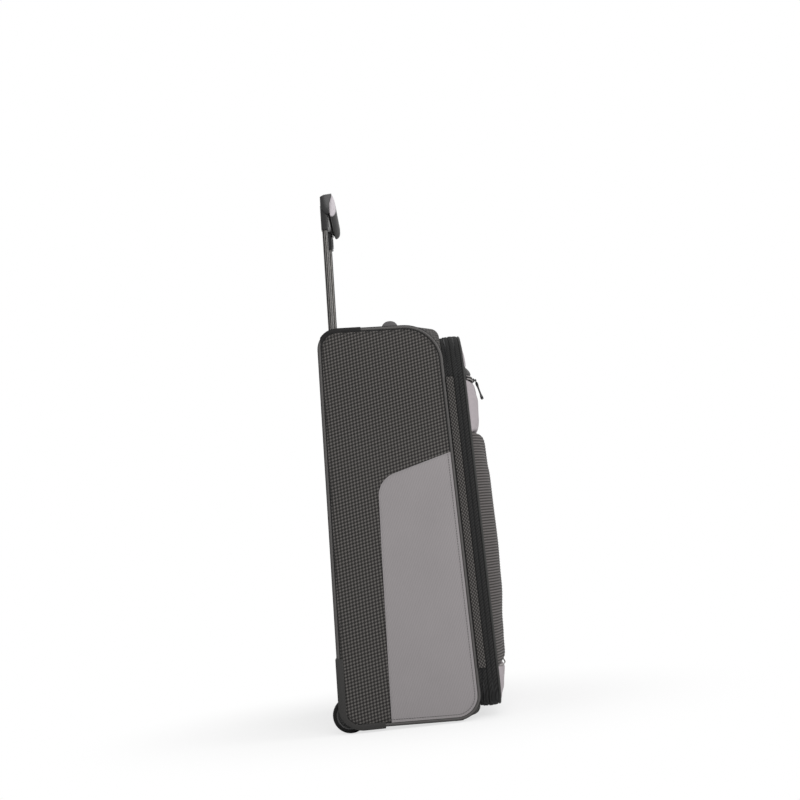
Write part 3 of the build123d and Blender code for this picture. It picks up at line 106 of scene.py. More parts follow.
# The patch's free edge on the side, in the same terms, and the radii of its two inner corners.
PATCH_EDGE = ((71.0, 14.0), (86.0, 299.0), (94.0, 444.0), (234.0, 481.0))
PATCH_RADII = (0, 37.0, 39.0, 0)
PATCH_LIFT = 0.9
PANEL_THICKNESS = 1.6
STITCH_INSET = 10.5
ROUTE_STEP = 6.0
BAND_THICKNESS = 3.0
LID_PIPING_INSET = 3.6
LID_PIPING_RADIUS = 2.4
PULL_EYE = 2.0
MERGE = 0.02
SETTLING_FRAMES = 20
LIGHT_LEVEL = 0.62
CAMERA_LENS = 67.5
CAMERA_PLACE = (-2.93, 0.013, 0.341)
CAMERA_TIP = math.radians(6.25)
CAMERA_PITCH = math.radians(5.14)
SIDES = {"left": -1, "right": 1}


def srgb(code):
    """An sRGB hex colour as linear red, green and blue."""
    channels = [int(code[i : i + 2], 16) / 255 for i in (1, 3, 5)]
    return tuple(c / 12.92 if c <= 0.04045 else ((c + 0.055) / 1.055) ** 2.4 for c in channels)


def colour_property(name, description, code):
    return bpy.props.FloatVectorProperty(
        name=name, description=description, default=srgb(code), size=3, min=0, max=1, subtype="COLOR"
    )


def length_property(name, description, millimetres):
    return bpy.props.FloatProperty(
        name=name, description=description, default=millimetres * MM, min=0, unit="LENGTH", precision=4
    )


class CaseColours(bpy.types.PropertyGroup):
    """Colours of the case's cloth, trim and hardware."""

    weave_dark: colour_property("Weave ground", "Dark yarn of the ballistic weave", "#292827")
    weave_light: colour_property("Weave fleck", "Pale yarn of the ballistic weave", "#5e5b59")
    patch_cloth: colour_property("Patch cloth", "Side patches", "#8a8687")
    pocket_cloth: colour_property("Pocket cloth", "Upper pocket and trims", "#9b9497")
    # The ribbed cloth's two colours are lit and shaded copies of one cloth: the crest a painted highlight, the groove
    # painted shade.
    rib_highlight_crest: colour_property("Rib crest", "Raised cords of the ribbed cloth", "#656160")
    rib_shaded_groove: colour_property("Rib groove", "Ground between the cords", "#2b2928")
    tape: colour_property("Zip tape", "Woven zip tape and welts", "#191919")
    piping: colour_property("Piping", "Vinyl cord along the seams", "#4d4b4a")
    pale_piping: colour_property("Pale piping", "Cord at the pocket's seams", "#8f8b89")
    housing: colour_property("Housing", "Moulded corners and feet", "#2d2c2b")
    tray: colour_property("Tray", "Moulded tray round the trolley", "#181717")
    # The tube colour is a painted highlight: the bright stripe along each flute's crest.
    tube: colour_property("Tube", "Anodised trolley tubes", "#7d7a77")
    grip: colour_property("Grip", "Gloss shell of the grip", "#1d1c1d")
    grip_insert: colour_property("Grip insert", "Satin pad on the grip's front", "#bdb7bb")
    tyre: colour_property("Tyre", "Cast polyurethane", "#101010")
    lining: colour_property("Lining", "Polyester lining", "#8f8b87")
    handle_cloth: colour_property("Handle cloth", "Cover of the carry handle", "#5e5c5d")
    thread: colour_property("Thread", "Sewing thread", "#2c2b2b")


class CaseSizes(bpy.types.PropertyGroup):
    """Sizes of the case's surface detail."""

    weave_pitch: length_property("Weave pitch", "Distance between two flecks", 5.8)
    rib_pitch: length_property("Rib pitch", "Distance between two ribs", 5.0)
    rib_height: length_property("Rib height", "How far a rib stands out", 0.8)
    panel_crown: length_property("Panel crown", "How far a padded side swells", 3.0)
    tooth_pitch: length_property("Tooth pitch", "Distance between two zip teeth", 2.6)
    stitch_pitch: length_property("Stitch pitch", "Distance between two stitches", 4.6)
    stitch_length: length_property("Stitch length", "Length of one stitch", 3.2)


# ---------------------------------------------------------------- materials


def add_node(tree, kind, inputs=None, **fields):
    """Adds a shader node, sets its fields, and sets or links its inputs. A node given links its first output."""
    made = tree.nodes.new("ShaderNode" + kind)
    for name, value in fields.items():
        setattr(made, name, value)
    for socket, value in (inputs or {}).items():
        if isinstance(value, bpy.types.Node):
            value = value.outputs[0]
        if isinstance(value, bpy.types.NodeSocket):
            tree.links.new(value, made.inputs[socket])
        else:
            made.inputs[socket].default_value = value
    return made


def new_material(name):
    """A material with its nodes, its surface shader and its texture coordinates."""
    material = bpy.data.materials.new(name)
    material.use_nodes = True
    shader = material.node_tree.nodes["Principled BSDF"]
    return material, material.node_tree, shader, add_node(material.node_tree, "TexCoord")


def solid(colour):
    return (*colour, 1.0)


# A wave texture's bands repeat every 0.314159 of its coordinate at scale 1.
WAVE_UNIT = math.pi / 10


def finish_cloth(tree, shader, height, strength, depth):
    """Thread relief and the soft sheen of fibres."""
    bump = add_node(tree, "Bump", {"Height": height, "Strength": strength, "Distance": depth})
    tree.links.new(bump.outputs["Normal"], shader.inputs["Normal"])
    surface = {"Roughness": 0.85, "Specular IOR Level": 0.12, "Sheen Weight": 0.04, "Sheen Roughness": 0.5}
    for socket, value in surface.items():
        shader.inputs[socket].default_value = value


def crossed_bands(tree, place, threads, pitch, clamp=False):
    """Bands along each thread's axis. A thread that runs into the surface shows none on it."""
    normal = add_node(tree, "SeparateXYZ", {"Vector": place.outputs["Normal"]})
    total = None
    for axis, turned in threads:
        bands = add_node(
            tree, "TexWave", {"Vector": turned, "Scale": WAVE_UNIT / pitch, "Distortion": 0.0}, bands_direction=axis
        )
        square = add_node(tree, "Math", {0: normal.outputs[axis], 1: normal.outputs[axis]}, operation="MULTIPLY")
        seen = add_node(tree, "Math", {0: 1.0, 1: square}, operation="SUBTRACT")
        share = add_node(tree, "Math", {0: bands.outputs["Fac"], 1: seen}, operation="MULTIPLY")
        if total:
            share = add_node(tree, "Math", {0: total, 1: share}, operation="ADD", use_clamp=clamp)
        total = share
    return total


def ballistic_weave(name, colours, pitch, row_turn, column_turn):
    """Two-tone polyester basket weave: pale yarn rises in rows of flecks from a near-black ground."""
    material, tree, shader, place = new_material(name)
    rows, columns = (
        add_node(tree, "Mapping", {"Vector": place.outputs["Object"], "Rotation": (turn, 0, 0)})
        for turn in (row_turn, column_turn)
    )
    total = crossed_bands(tree, place, (("X", columns), ("Y", columns), ("Z", rows)), pitch)
    fleck = add_node(
        tree,
        "MapRange",
        {"Value": total, "From Min": 0.65, "From Max": 1.7},
        interpolation_type="SMOOTHSTEP",
    )
    blotch = add_node(tree, "TexNoise", {"Vector": place.outputs["Object"], "Scale": 900.0, "Detail": 2.0})
    uneven = add_node(tree, "MapRange", {"Value": blotch.outputs["Fac"], "To Min": 0.72, "To Max": 1.22})
    amount = add_node(tree, "Math", {0: fleck, 1: uneven}, operation="MULTIPLY", use_clamp=True)
    mixed = add_node(
        tree,
        "Mix",
        {"Factor": amount, "A": solid(colours.weave_dark), "B": solid(colours.weave_light)},
        data_type="RGBA",
    )
    tree.links.new(mixed.outputs["Result"], shader.inputs["Base Color"])
    finish_cloth(tree, shader, fleck, 0.5, 0.5 * MM)
    return material


def micro_weave(name, colour, pitch, contrast):
    """Fine plain-woven polyester: nearly one tone, with a faint diagonal twill."""
    material, tree, shader, place = new_material(name)
    turned = add_node(tree, "Mapping", {"Vector": place.outputs["Object"], "Rotation": (0.7, 0.5, 0.3)})
    twill = add_node(
        tree,
        "TexWave",
        {"Vector": turned, "Scale": WAVE_UNIT / pitch, "Distortion": 1.5, "Detail Scale": 3.0},
        bands_direction="DIAGONAL",
    )
    fibre = add_node(tree, "TexNoise", {"Vector": place.outputs["Object"], "Scale": 1100.0, "Detail": 3.0})
    cloud = add_node(tree, "TexNoise", {"Vector": place.outputs["Object"], "Scale": 14.0, "Detail": 2.0})
    relief = add_node(tree, "Math", {0: twill.outputs["Fac"], 1: fibre.outputs["Fac"]}, operation="ADD")
    tone = add_node(tree, "Math", {0: relief, 1: cloud.outputs["Fac"]}, operation="ADD")
    shade = add_node(
        tree,
        "MapRange",
        {"Value": tone, "From Min": 0.5, "From Max": 2.5, "To Min": 1 - contrast, "To Max": 1 + contrast},
    )
    tinted = add_node(tree, "VectorMath", {0: colour, "Scale": shade}, operation="SCALE")
    tree.links.new(tinted.outputs[0], shader.inputs["Base Color"])
    finish_cloth(tree, shader, relief, 0.3, 0.25 * MM)
    return material


def banded_cloth(name, highlight_crest, groove, pitch, direction, depth):
    """Cloth with raised cords across it: a painted highlight on each cord's top, over the darker ground between the
    cords.
    """
    material, tree, shader, place = new_material(name)
    cords = add_node(
        tree,
        "TexWave",
        {"Vector": place.outputs["Object"], "Scale": WAVE_UNIT / pitch, "Distortion": 0.0},
        bands_direction=direction,
    )
    fibre = add_node(tree, "TexNoise", {"Vector": place.outputs["Object"], "Scale": 700.0, "Detail": 3.0})
    worn = add_node(tree, "MapRange", {"Value": fibre.outputs["Fac"], "To Min": 0.6, "To Max": 1.3})
    # The cords' wave paints the highlight colour on each cord's top and leaves the ground colour between them.
    amount = add_node(tree, "Math", {0: cords.outputs["Fac"], 1: worn}, operation="MULTIPLY", use_clamp=True)
    mixed = add_node(tree, "Mix", {"Factor": amount, "A": solid(groove), "B": solid(highlight_crest)}, data_type="RGBA")
    tree.links.new(mixed.outputs["Result"], shader.inputs["Base Color"])
    finish_cloth(tree, shader, amount, 0.5, depth)
    return material


def moulded(name, colour, roughness, grain, relief, gloss=0.25, coat=0.0, metallic=0.0, stretch=(1, 1, 1)):
    """A moulded, drawn or cast surface: one colour broken by a fine grain that scatters its highlights."""
    material, tree, shader, place = new_material(name)
    drawn = add_node(tree, "Mapping", {"Vector": place.outputs["Object"], "Scale": stretch})
    spots = add_node(tree, "TexNoise", {"Vector": drawn, "Scale": 1 / grain, "Detail": 3.0})
    shade = add_node(tree, "MapRange", {"Value": spots.outputs["Fac"], "To Min": 0.82, "To Max": 1.18})
    tinted = add_node(tree, "VectorMath", {0: colour, "Scale": shade}, operation="SCALE")
    tree.links.new(tinted.outputs[0], shader.inputs["Base Color"])
    dull = add_node(
        tree,
        "MapRange",
        {"Value": spots.outputs["Fac"], "To Min": roughness * 0.85, "To Max": min(1.0, roughness * 1.2)},
    )
    tree.links.new(dull.outputs[0], shader.inputs["Roughness"])
    bump = add_node(tree, "Bump", {"Height": spots.outputs["Fac"], "Strength": 0.35, "Distance": relief})
    tree.links.new(bump.outputs["Normal"], shader.inputs["Normal"])
    shader.inputs["Metallic"].default_value = metallic
    shader.inputs["Coat Weight"].default_value = coat
    if not metallic:
        shader.inputs["Specular IOR Level"].default_value = gloss
    return material


def fluted_metal(name, highlight_crest, groove, pitch):
    """Drawn metal with lengthwise flutes: each has a painted highlight, a bright stripe along its crest, beside a dark
    furrow.
    """
    material, tree, shader, place = new_material(name)
    upright = add_node(tree, "Mapping", {"Vector": place.outputs["Object"], "Rotation": (-LEAN, 0, 0)})
    total = crossed_bands(tree, place, (("X", upright), ("Y", upright)), pitch, clamp=True)
    # The stripe mask marks each flute's crest, where the highlight is painted.
    highlight_stripe = add_node(
        tree,
        "MapRange",
        {"Value": total, "From Min": 0.45, "From Max": 1.0},
        interpolation_type="SMOOTHSTEP",
    )
    mixed = add_node(tree, "Mix", {"Factor": highlight_stripe, "A": solid(groove), "B": solid(highlight_crest)}, data_type="RGBA")
    tree.links.new(mixed.outputs["Result"], shader.inputs["Base Color"])
    bump = add_node(tree, "Bump", {"Height": total, "Strength": 0.4, "Distance": 0.3 * MM})
    tree.links.new(bump.outputs["Normal"], shader.inputs["Normal"])
    shader.inputs["Metallic"].default_value = 0.7
    shader.inputs["Roughness"].default_value = 0.32
    return material


def make_materials():
    """Every finish of the case, by name."""
    colours = bpy.context.scene.case_colours
    sizes = bpy.context.scene.case_sizes
    row_rise = math.radians(12.5)
    return {
        # 1680-denier polyester, basket woven in two tones: a salt-and-pepper grid of flecks.
        "weave": ballistic_weave("ballistic_polyester", colours, sizes.weave_pitch, row_rise, 0.0),
        # The same cloth cut on the bias: its flecks run diagonally.
        "bias_weave": ballistic_weave(
            "bias_cut_polyester", colours, sizes.weave_pitch * 0.72, row_rise + math.pi / 4, math.pi / 4
        ),
        # 600-denier polyester, plain woven: soft light grey. Its twill is finer, and drawn at 3.4 mm so that it shows.
        "patch": micro_weave("plain_woven_polyester", colours.patch_cloth, 3.4 * MM, 0.1),
        # The pockets' grade of it, a shade paler and smoother.
        "light": micro_weave("brushed_woven_polyester", colours.pocket_cloth, 3.4 * MM, 0.04),
        # Corded polyester: a painted highlight along each rib's top, and painted shade on the ground between the ribs.
        "ribbed": banded_cloth(
            "corded_polyester", colours.rib_highlight_crest, colours.rib_shaded_groove, sizes.rib_pitch, "Z", 0.3 * MM
        ),
        # Woven nylon tape: black with close ribs, drawn at 3 mm so that they show; the paler colour on each rib is a
        # painted highlight.
        "tape": banded_cloth("woven_nylon_tape", (0.03, 0.03, 0.03), colours.tape, 3.0 * MM, "DIAGONAL", 0.2 * MM),
        # Extruded soft vinyl: dark grey with a broad dull highlight.
        "piping": moulded("extruded_vinyl_cord", colours.piping, 0.45, 0.9 * MM, 0.08 * MM),
        # The same vinyl in black, round the lid, and in pale grey, along the pockets' seams.
        "dark_piping": moulded("black_vinyl_cord", (0.035, 0.035, 0.034), 0.5, 0.9 * MM, 0.08 * MM, gloss=0.15),
        "pale_piping": moulded("pale_vinyl_cord", colours.pale_piping, 0.5, 0.9 * MM, 0.08 * MM),
        # Injection-moulded ABS with a spark-eroded grain: matt charcoal.
        "housing": moulded("moulded_ABS_grained", colours.housing, 0.5, 0.8 * MM, 0.12 * MM),
        # Anodised aluminium drawn with flutes: black up the tube, with painted highlights as bright stripes along the
        # flutes.
        "tube": fluted_metal("anodised_aluminium_drawn", colours.tube, (0.012, 0.012, 0.012), 3.3 * MM),
        # The same ABS in black, for the tray.
        "tray": moulded("moulded_ABS_black", colours.tray, 0.5, 0.8 * MM, 0.12 * MM, gloss=0.15),
        # Polished ABS, on the grip's shell: black with clear reflections.
        "grip": moulded("polished_ABS", colours.grip, 0.2, 2.0 * MM, 0.02 * MM, gloss=0.35),
        # Painted ABS, satin: pale mauve grey with a soft highlight.
        "insert": moulded("satin_painted_ABS", colours.grip_insert, 0.4, 1.5 * MM, 0.03 * MM),
        # Cast polyurethane: dull black, slightly scuffed.
        "tyre": moulded("cast_polyurethane", colours.tyre, 0.6, 1.0 * MM, 0.1 * MM, gloss=0.15),
        # Moulded nylon: dark grey, slightly shiny.
        "hub": moulded("moulded_nylon", (0.06, 0.06, 0.06), 0.42, 0.9 * MM, 0.06 * MM),
        # Turned steel: bright with fine rings.
        "steel": moulded("turned_steel", (0.55, 0.55, 0.56), 0.3, 0.5 * MM, 0.02 * MM, metallic=1.0),
        # Lacquered zinc die casting: black, glossy on its edges.
        "zinc": moulded("lacquered_zinc", (0.014, 0.014, 0.015), 0.3, 1.0 * MM, 0.03 * MM, gloss=0.4),
        # Moulded soft PVC: dull black.
        "rubber": moulded("moulded_soft_PVC", (0.008, 0.008, 0.008), 0.5, 0.9 * MM, 0.05 * MM, gloss=0.12),
        # Close-woven polyester over the carry handle's foam: mid grey, plain.
        "handle": micro_weave("close_woven_polyester", colours.handle_cloth, 3.0 * MM, 0.05),
        # Woven polyester lining: warm mid grey, silky.
        "lining": micro_weave("polyester_lining", colours.lining, 3.0 * MM, 0.05),
        # Extruded polypropylene board: charcoal with a pebbled face.
        "board": moulded("extruded_polypropylene", (0.05, 0.05, 0.05), 0.6, 2.2 * MM, 0.15 * MM),
        # Woven polypropylene webbing: black with cross ribs, drawn at 2.2 mm so that they show; the paler colour on
        # each rib is a painted highlight.
        "webbing": banded_cloth("woven_webbing", (0.05, 0.05, 0.05), (0.012, 0.012, 0.012), 2.2 * MM, "X", 0.2 * MM),
        # Bonded polyester thread: a shade off the cloth it holds.
        "thread": moulded("bonded_polyester_thread", colours.thread, 0.6, 0.6 * MM, 0.05 * MM),
        "pale_thread": moulded("pale_polyester_thread", colours.patch_cloth, 0.6, 0.6 * MM, 0.05 * MM),
    }


MATERIALS = {}


# ---------------------------------------------------------------- modelling helpers


def only(piece):
    """Makes the piece the only selected and active one."""
    if bpy.context.object and bpy.context.object.mode != "OBJECT":
        bpy.ops.object.mode_set(mode="OBJECT")
    bpy.ops.object.select_all(action="DESELECT")
    piece.select_set(True)
    bpy.context.view_layer.objects.active = piece


def deselect_all():
    bpy.ops.object.select_all(action="DESELECT")


def edit(piece):
    only(piece)
    bpy.ops.object.mode_set(mode="EDIT")
    bpy.ops.mesh.select_all(action="DESELECT")


def object_mode():
    bpy.ops.object.mode_set(mode="OBJECT")


def cut_across(place, direction):
    """Cuts the mesh in edit mode along a plane."""
    bpy.ops.mesh.select_all(action="SELECT")
    bpy.ops.mesh.bisect(plane_co=place, plane_no=direction)


def turn_outwards(piece, merge=0.0):
    """Merges points nearer than a distance in millimetres, and turns the skin outwards."""
    edit(piece)
    bpy.ops.mesh.select_all(action="SELECT")
    if merge:
        bpy.ops.mesh.remove_doubles(threshold=merge * MM)
    bpy.ops.mesh.normals_make_consistent(inside=False)
    object_mode()


def bend(piece, name, material, slot, node, bodies, start_y, end_y):
    """Names a cloth, gives it its finish, hides the frame piece it stands in for, and puts its place in its mesh."""
    piece.name = piece.data.name = name
    piece.data.materials.append(MATERIALS[material])
    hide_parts(node)
    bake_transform(piece)


def apply_modifier(piece, kind, name, **settings):
    only(piece)
    modifier = piece.modifiers.new(name, kind)
    for field, value in settings.items():
        setattr(modifier, field, value)
    bpy.ops.object.modifier_apply(modifier=name)


def smooth(piece, degrees=35):
    only(piece)
    bpy.ops.object.shade_smooth_by_angle(angle=math.radians(degrees))


def settle(piece, name, body, material, replaced=()):
    """Names a finished piece, puts its place in its mesh, and ties it to its body."""
    only(piece)
    bpy.ops.object.transform_apply(location=True, rotation=True, scale=True)
    piece.name = name
    piece.data.name = name
    piece.data.materials.clear()
    piece.data.materials.append(MATERIALS[material])
    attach(piece, body)
    if replaced:
        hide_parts(*replaced)
    return piece


def copy_of(node):
    """A copy of a frame piece with its loose triangles merged into one skin."""
    source = frame["nodes"][node]
    piece = source.copy()
    piece.data = source.data.copy()
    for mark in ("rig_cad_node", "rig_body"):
        if mark in piece:
            del piece[mark]
    piece.parent = None
    bpy.context.scene.collection.objects.link(piece)
    piece.hide_render = False
    only(piece)
    bpy.ops.mesh.customdata_custom_splitnormals_clear()
    edit(piece)
    bpy.ops.mesh.select_all(action="SELECT")
    bpy.ops.mesh.remove_doubles(threshold=0.01 * MM)
    bpy.ops.mesh.dissolve_limited(angle_limit=math.radians(0.5))
    object_mode()
    return piece


def softened(node, name, body, material, width, segments=3):
    """A frame piece with its hard edges rounded, standing in its place."""
    piece = copy_of(node)
    apply_modifier(
        piece,
        "BEVEL",
        "Rounding",
        width=width * MM,
        segments=segments,
        limit_method="ANGLE",
        angle_limit=math.radians(35),
        use_clamp_overlap=True,
    )
    smooth(piece)
    return settle(piece, name, body, material, (node,))


def dress(nodes, material):
    """Gives frame pieces their finish."""
    for node in nodes:
        for place in frame["nodes"][node].material_slots:
            place.material = MATERIALS[material]


def repeated(name, template, places):
    """One mesh that holds a copy of the template at each place."""
    corners = numpy.array([v.co for v in template.data.vertices])
    faces = [tuple(p.vertices) for p in template.data.polygons]
    count = len(corners)
    all_corners = []
    all_faces = []
    for number, place in enumerate(places):
        turn = numpy.array(place.to_3x3())
        all_corners.append(corners @ turn.T + numpy.array(place.translation))
        all_faces += [tuple(v + number * count for v in face) for face in faces]
    mesh = bpy.data.meshes.new(name)
    mesh.from_pydata(numpy.concatenate(all_corners).tolist(), [], all_faces)
    mesh.update()
    piece = bpy.data.objects.new(name, mesh)
    bpy.context.scene.collection.objects.link(piece)
    bpy.data.objects.remove(template)
    return piece


def small_block(size, segments=1):
    """A rounded block of a few dozen faces about the origin, its size in millimetres."""
    deselect_all()
    bpy.ops.mesh.primitive_cube_add(size=MM)
    block = bpy.context.object
    block.scale = size
    bpy.ops.object.transform_apply(location=False, rotation=False, scale=True)
    apply_modifier(block, "BEVEL", "Rounding", width=min(size) * 0.35 * MM, segments=segments, limit_method="NONE")
    return block


def frame_at(place, along, outward):
    """A matrix whose X runs along and whose Z points outwards, at a place in metres."""
    x_axis = Vector(along).normalized()
    z_axis = Vector(outward)
    z_axis = (z_axis - x_axis * z_axis.dot(x_axis)).normalized()
    y_axis = z_axis.cross(x_axis)
    turn = Matrix((x_axis, y_axis, z_axis)).transposed().to_4x4()
    return Matrix.Translation(Vector(place)) @ turn


def rounded_route(corners, radii, spacing, closed=True):
    """Evenly spaced points and directions along straight runs joined by arcs, in a plane."""
    count = len(corners)
    points = [Vector(corner) for corner in corners]
    runs = []
    ends = []
    for i in range(count):
        if not closed and i in (0, count - 1):
            ends.append((points[i], points[i], None, 0.0, 0.0, 0.0))
            continue
        before = (points[i - 1] - points[i]).normalized()
        after = (points[(i + 1) % count] - points[i]).normalized()
        half = before.angle(after) / 2
        reach = radii[i] / math.tan(half)
        centre = points[i] + (before + after).normalized() * radii[i] / math.sin(half)
        start = points[i] + before * reach
        end = points[i] + after * reach
        first = math.atan2(start.y - centre.y, start.x - centre.x)
        last = math.atan2(end.y - centre.y, end.x - centre.x)
        sweep = (last - first + math.pi) % (2 * math.pi) - math.pi
        ends.append((start, end, centre, first, sweep, radii[i]))
    for i in range(count):
        start, end, centre, first, sweep, radius = ends[i]
        if centre is not None and radius > 0:
            runs.append((abs(sweep) * radius, centre, first, sweep, radius, None))
        if closed or i < count - 1:
            following = ends[(i + 1) % count][0]
            runs.append(((following - end).length, end, 0, 0, 0, following))
    length = sum(run[0] for run in runs)
    steps = max(1, round(length / spacing))
    route = []
    for step in range(steps if closed else steps + 1):
        distance = step * length / steps
        for run_length, anchor, first, sweep, radius, following in runs:
            if distance <= run_length + 1e-9:
                break
            distance -= run_length
        share = min(1.0, distance / run_length) if run_length else 0.0
        if following is None:
            angle = first + sweep * share
            point = anchor + Vector((math.cos(angle), math.sin(angle))) * radius
            turn = math.copysign(1, sweep)
            direction = Vector((-math.sin(angle), math.cos(angle))) * turn
        else:
            point = anchor.lerp(following, share)
            direction = (following - anchor).normalized()
        route.append((point, direction))
    return route


def lid_route(inset, spacing):
    """Points and directions round the lid's outline, as x and height in millimetres."""
    half = LID_HALF_WIDTH - inset
    low = LID_BOTTOM + inset
    high = LID_TOP - inset
    corners = ((-half, low), (half, low), (half, high), (-half, high))
    bottom = LID_BOTTOM_RADIUS - inset
    top = LID_TOP_RADIUS - inset
    return rounded_route(corners, (bottom, bottom, top, top), spacing)


def cord_along(spots, radius, closed=False):
    """A round cord through points in millimetres."""
    deselect_all()
    bpy.ops.curve.primitive_bezier_curve_add()
    curve = bpy.context.object
    curve.data.splines.remove(curve.data.splines[0])
    line = curve.data.splines.new("NURBS")
    line.points.add(len(spots) - 1)
    for point, spot in zip(line.points, spots):
        point.co = (*(spot * MM), 1)
    line.order_u = 3
    line.use_cyclic_u = closed
    line.use_endpoint_u = not closed
    line.resolution_u = 2
    curve.data.bevel_depth = radius * MM
    curve.data.bevel_resolution = 2
    curve.data.use_fill_caps = not closed
    only(curve)
    bpy.ops.object.convert(target="MESH")
    cord = bpy.context.object
    smooth(cord, 60)
    return cord


def inflate(piece, held, cap, pressure=4.0):
    """Swells a stuffed piece as cloth. Held points stay, and none moves further than the cap."""
    rest = [v.co.copy() for v in piece.data.vertices]
    group = piece.vertex_groups.new(name="seam")
    group.add(held, 1.0, "REPLACE")
    only(piece)
    cloth = piece.modifiers.new("Stuffing", "CLOTH")
    cloth.settings.use_pressure = True
    cloth.settings.uniform_pressure_force = pressure
    cloth.settings.effector_weights.gravity = 0
    cloth.settings.vertex_group_mass = "seam"
    cloth.settings.quality = 4
    cloth.settings.tension_stiffness = cloth.settings.compression_stiffness = 20
    cloth.settings.bending_stiffness = 1.0
    cloth.point_cache.frame_end = SETTLING_FRAMES
    for number in range(1, SETTLING_FRAMES + 1):
        bpy.context.scene.frame_set(number)
    bpy.ops.object.modifier_apply(modifier="Stuffing")
    bpy.context.scene.frame_set(1)
    for vertex, start in zip(piece.data.vertices, rest):
        moved = vertex.co - start
        # The further it would go, the harder the stitching holds it.
        reach = cap * math.tanh(moved.length / cap)
        if moved.length > 0:
            vertex.co = start + moved.normalized() * reach
    piece.vertex_groups.clear()


# ---------------------------------------------------------------- side panels


def outer_sheet(node, side, spacing):
    """A sheet cut from a flat piece's outer face, divided into small squares."""
    piece = copy_of(node)
    outermost = max(v.co.x * side for v in piece.data.vertices)
    edit(piece)
    bpy.ops.mesh.select_mode(type="FACE")
    object_mode()
    for face in piece.data.polygons:
        face.select = face.normal.x * side < 0.9 or face.center.x * side < outermost - 0.05 * MM
    bpy.ops.object.mode_set(mode="EDIT")
    bpy.ops.mesh.delete(type="FACE")
    bpy.ops.mesh.select_mode(type="VERT")
    low = [min(v[axis] for v in piece.bound_box) for axis in range(3)]
    high = [max(v[axis] for v in piece.bound_box) for axis in range(3)]
    for axis in (1, 2):
        steps = int((high[axis] - low[axis]) / spacing)
        for step in range(1, steps):
            cut = [0.0, 0.0, 0.0]
            cut[axis] = low[axis] + (high[axis] - low[axis]) * step / steps
            direction = [0.0, 0.0, 0.0]
            direction[axis] = 1.0
            cut_across(cut, direction)
    bpy.ops.mesh.select_all(action="SELECT")
    bpy.ops.mesh.remove_doubles(threshold=0.05 * MM)
    object_mode()
    return piece


def rim_vertices(piece):
    """The points on a sheet's open edges."""
    uses = {}
    for face in piece.data.polygons:
        for key in face.edge_keys:
            uses[key] = uses.get(key, 0) + 1
    return sorted({v for key, count in uses.items() if count == 1 for v in key})


class CASE_OT_side_panels(bpy.types.Operator):
    """Make the padded side panels and the pale patches sewn on them"""

    bl_idname = "case.side_panels"
    bl_label = "Side panels"

    def execute(self, context):
        crown = context.scene.case_sizes.panel_crown
        for name, side in SIDES.items():
            panel = outer_sheet(f"side_panel_{name}", side, 11 * MM)
            inflate(panel, rim_vertices(panel), crown, pressure=3.0)
            patch = outer_sheet(f"side_patch_{name}", side, 9 * MM)
            apply_modifier(
                patch,
                "SHRINKWRAP",
                "On the panel",
                target=panel,
                wrap_method="PROJECT",
                use_project_x=True,
                use_project_y=False,
                use_project_z=False,
                use_negative_direction=True,
                use_positive_direction=True,
                wrap_mode="OUTSIDE_SURFACE",
                offset=PATCH_LIFT * MM,
            )
            # The patch never sinks below its own solid's face.
            face = max(corner.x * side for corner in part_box(f"side_patch_{name}")) - 0.3 * MM
            for vertex in patch.data.vertices:
                vertex.co.x = side * max(vertex.co.x * side, face)
            for sheet, thickness in ((panel, PANEL_THICKNESS), (patch, PATCH_LIFT)):
                apply_modifier(sheet, "SOLIDIFY", "Thickness", thickness=thickness * MM, offset=-1.0)
                smooth(sheet)
            settle(panel, f"padded_side_{name}", "case", "weave", (f"side_panel_{name}",))
            settle(patch, f"sewn_patch_{name}", "case", "patch", (f"side_patch_{name}",))
        return {"FINISHED"}


# ---------------------------------------------------------------- case body


def side_corners(inset):
    """The corners of the case's side in Y and height, drawn in by an inset."""
    (foot, foot_low), (head, head_high), (front, front_high), (front_foot, front_low) = SIDE_CORNERS
    return (
        (AXLE_Y - foot - inset, foot_low + inset),
        (AXLE_Y - head - inset, head_high - inset),
        (AXLE_Y - front + inset, front_high - inset),
        (AXLE_Y - front_foot + inset, front_low + inset),
    )


def side_radii(inset):
    return tuple(radius - inset for radius in SIDE_RADII)


class CASE_OT_case_body(bpy.types.Operator):
    """Finish the case's woven band, its piping with dark cords of painted shade beside it, the handle tray and the
    feet
    """

    bl_idname = "case.case_body"
    bl_label = "Case body"

    def execute(self, context):
        dress(("back_panel", "top_panel", "bottom_panel", "front_frame"), "weave")
        dress(("side_pipings",), "piping")
        dress(("seam_bindings",), "tape")
        for name, side in SIDES.items():
            # Black cords beside the piping are painted shade: they stand in for the shadowed grooves between the
            # piping and the cloth.
            for row, inset, x, radius in (("inner", 6.4, 228.9, 0.9), ("outer", -0.1, 227.2, 0.8)):
                route = rounded_route(side_corners(inset), side_radii(inset), ROUTE_STEP)
                spots = [Vector((side * x, point.x, point.y)) for point, _ in route]
                seam = cord_along(spots, radius, closed=True)
                settle(seam, f"piping_shade_cord_{row}_{name}", "case", "tape")
        softened("handle_tray", "handle_tray_shell", "case", "tray", 1.2)
        softened("front_feet", "front_feet_moulded", "case", "housing", 1.2)
        softened("handle_anchors", "handle_anchor_caps", "case", "housing", 1.5)
        return {"FINISHED"}


# ---------------------------------------------------------------- zips


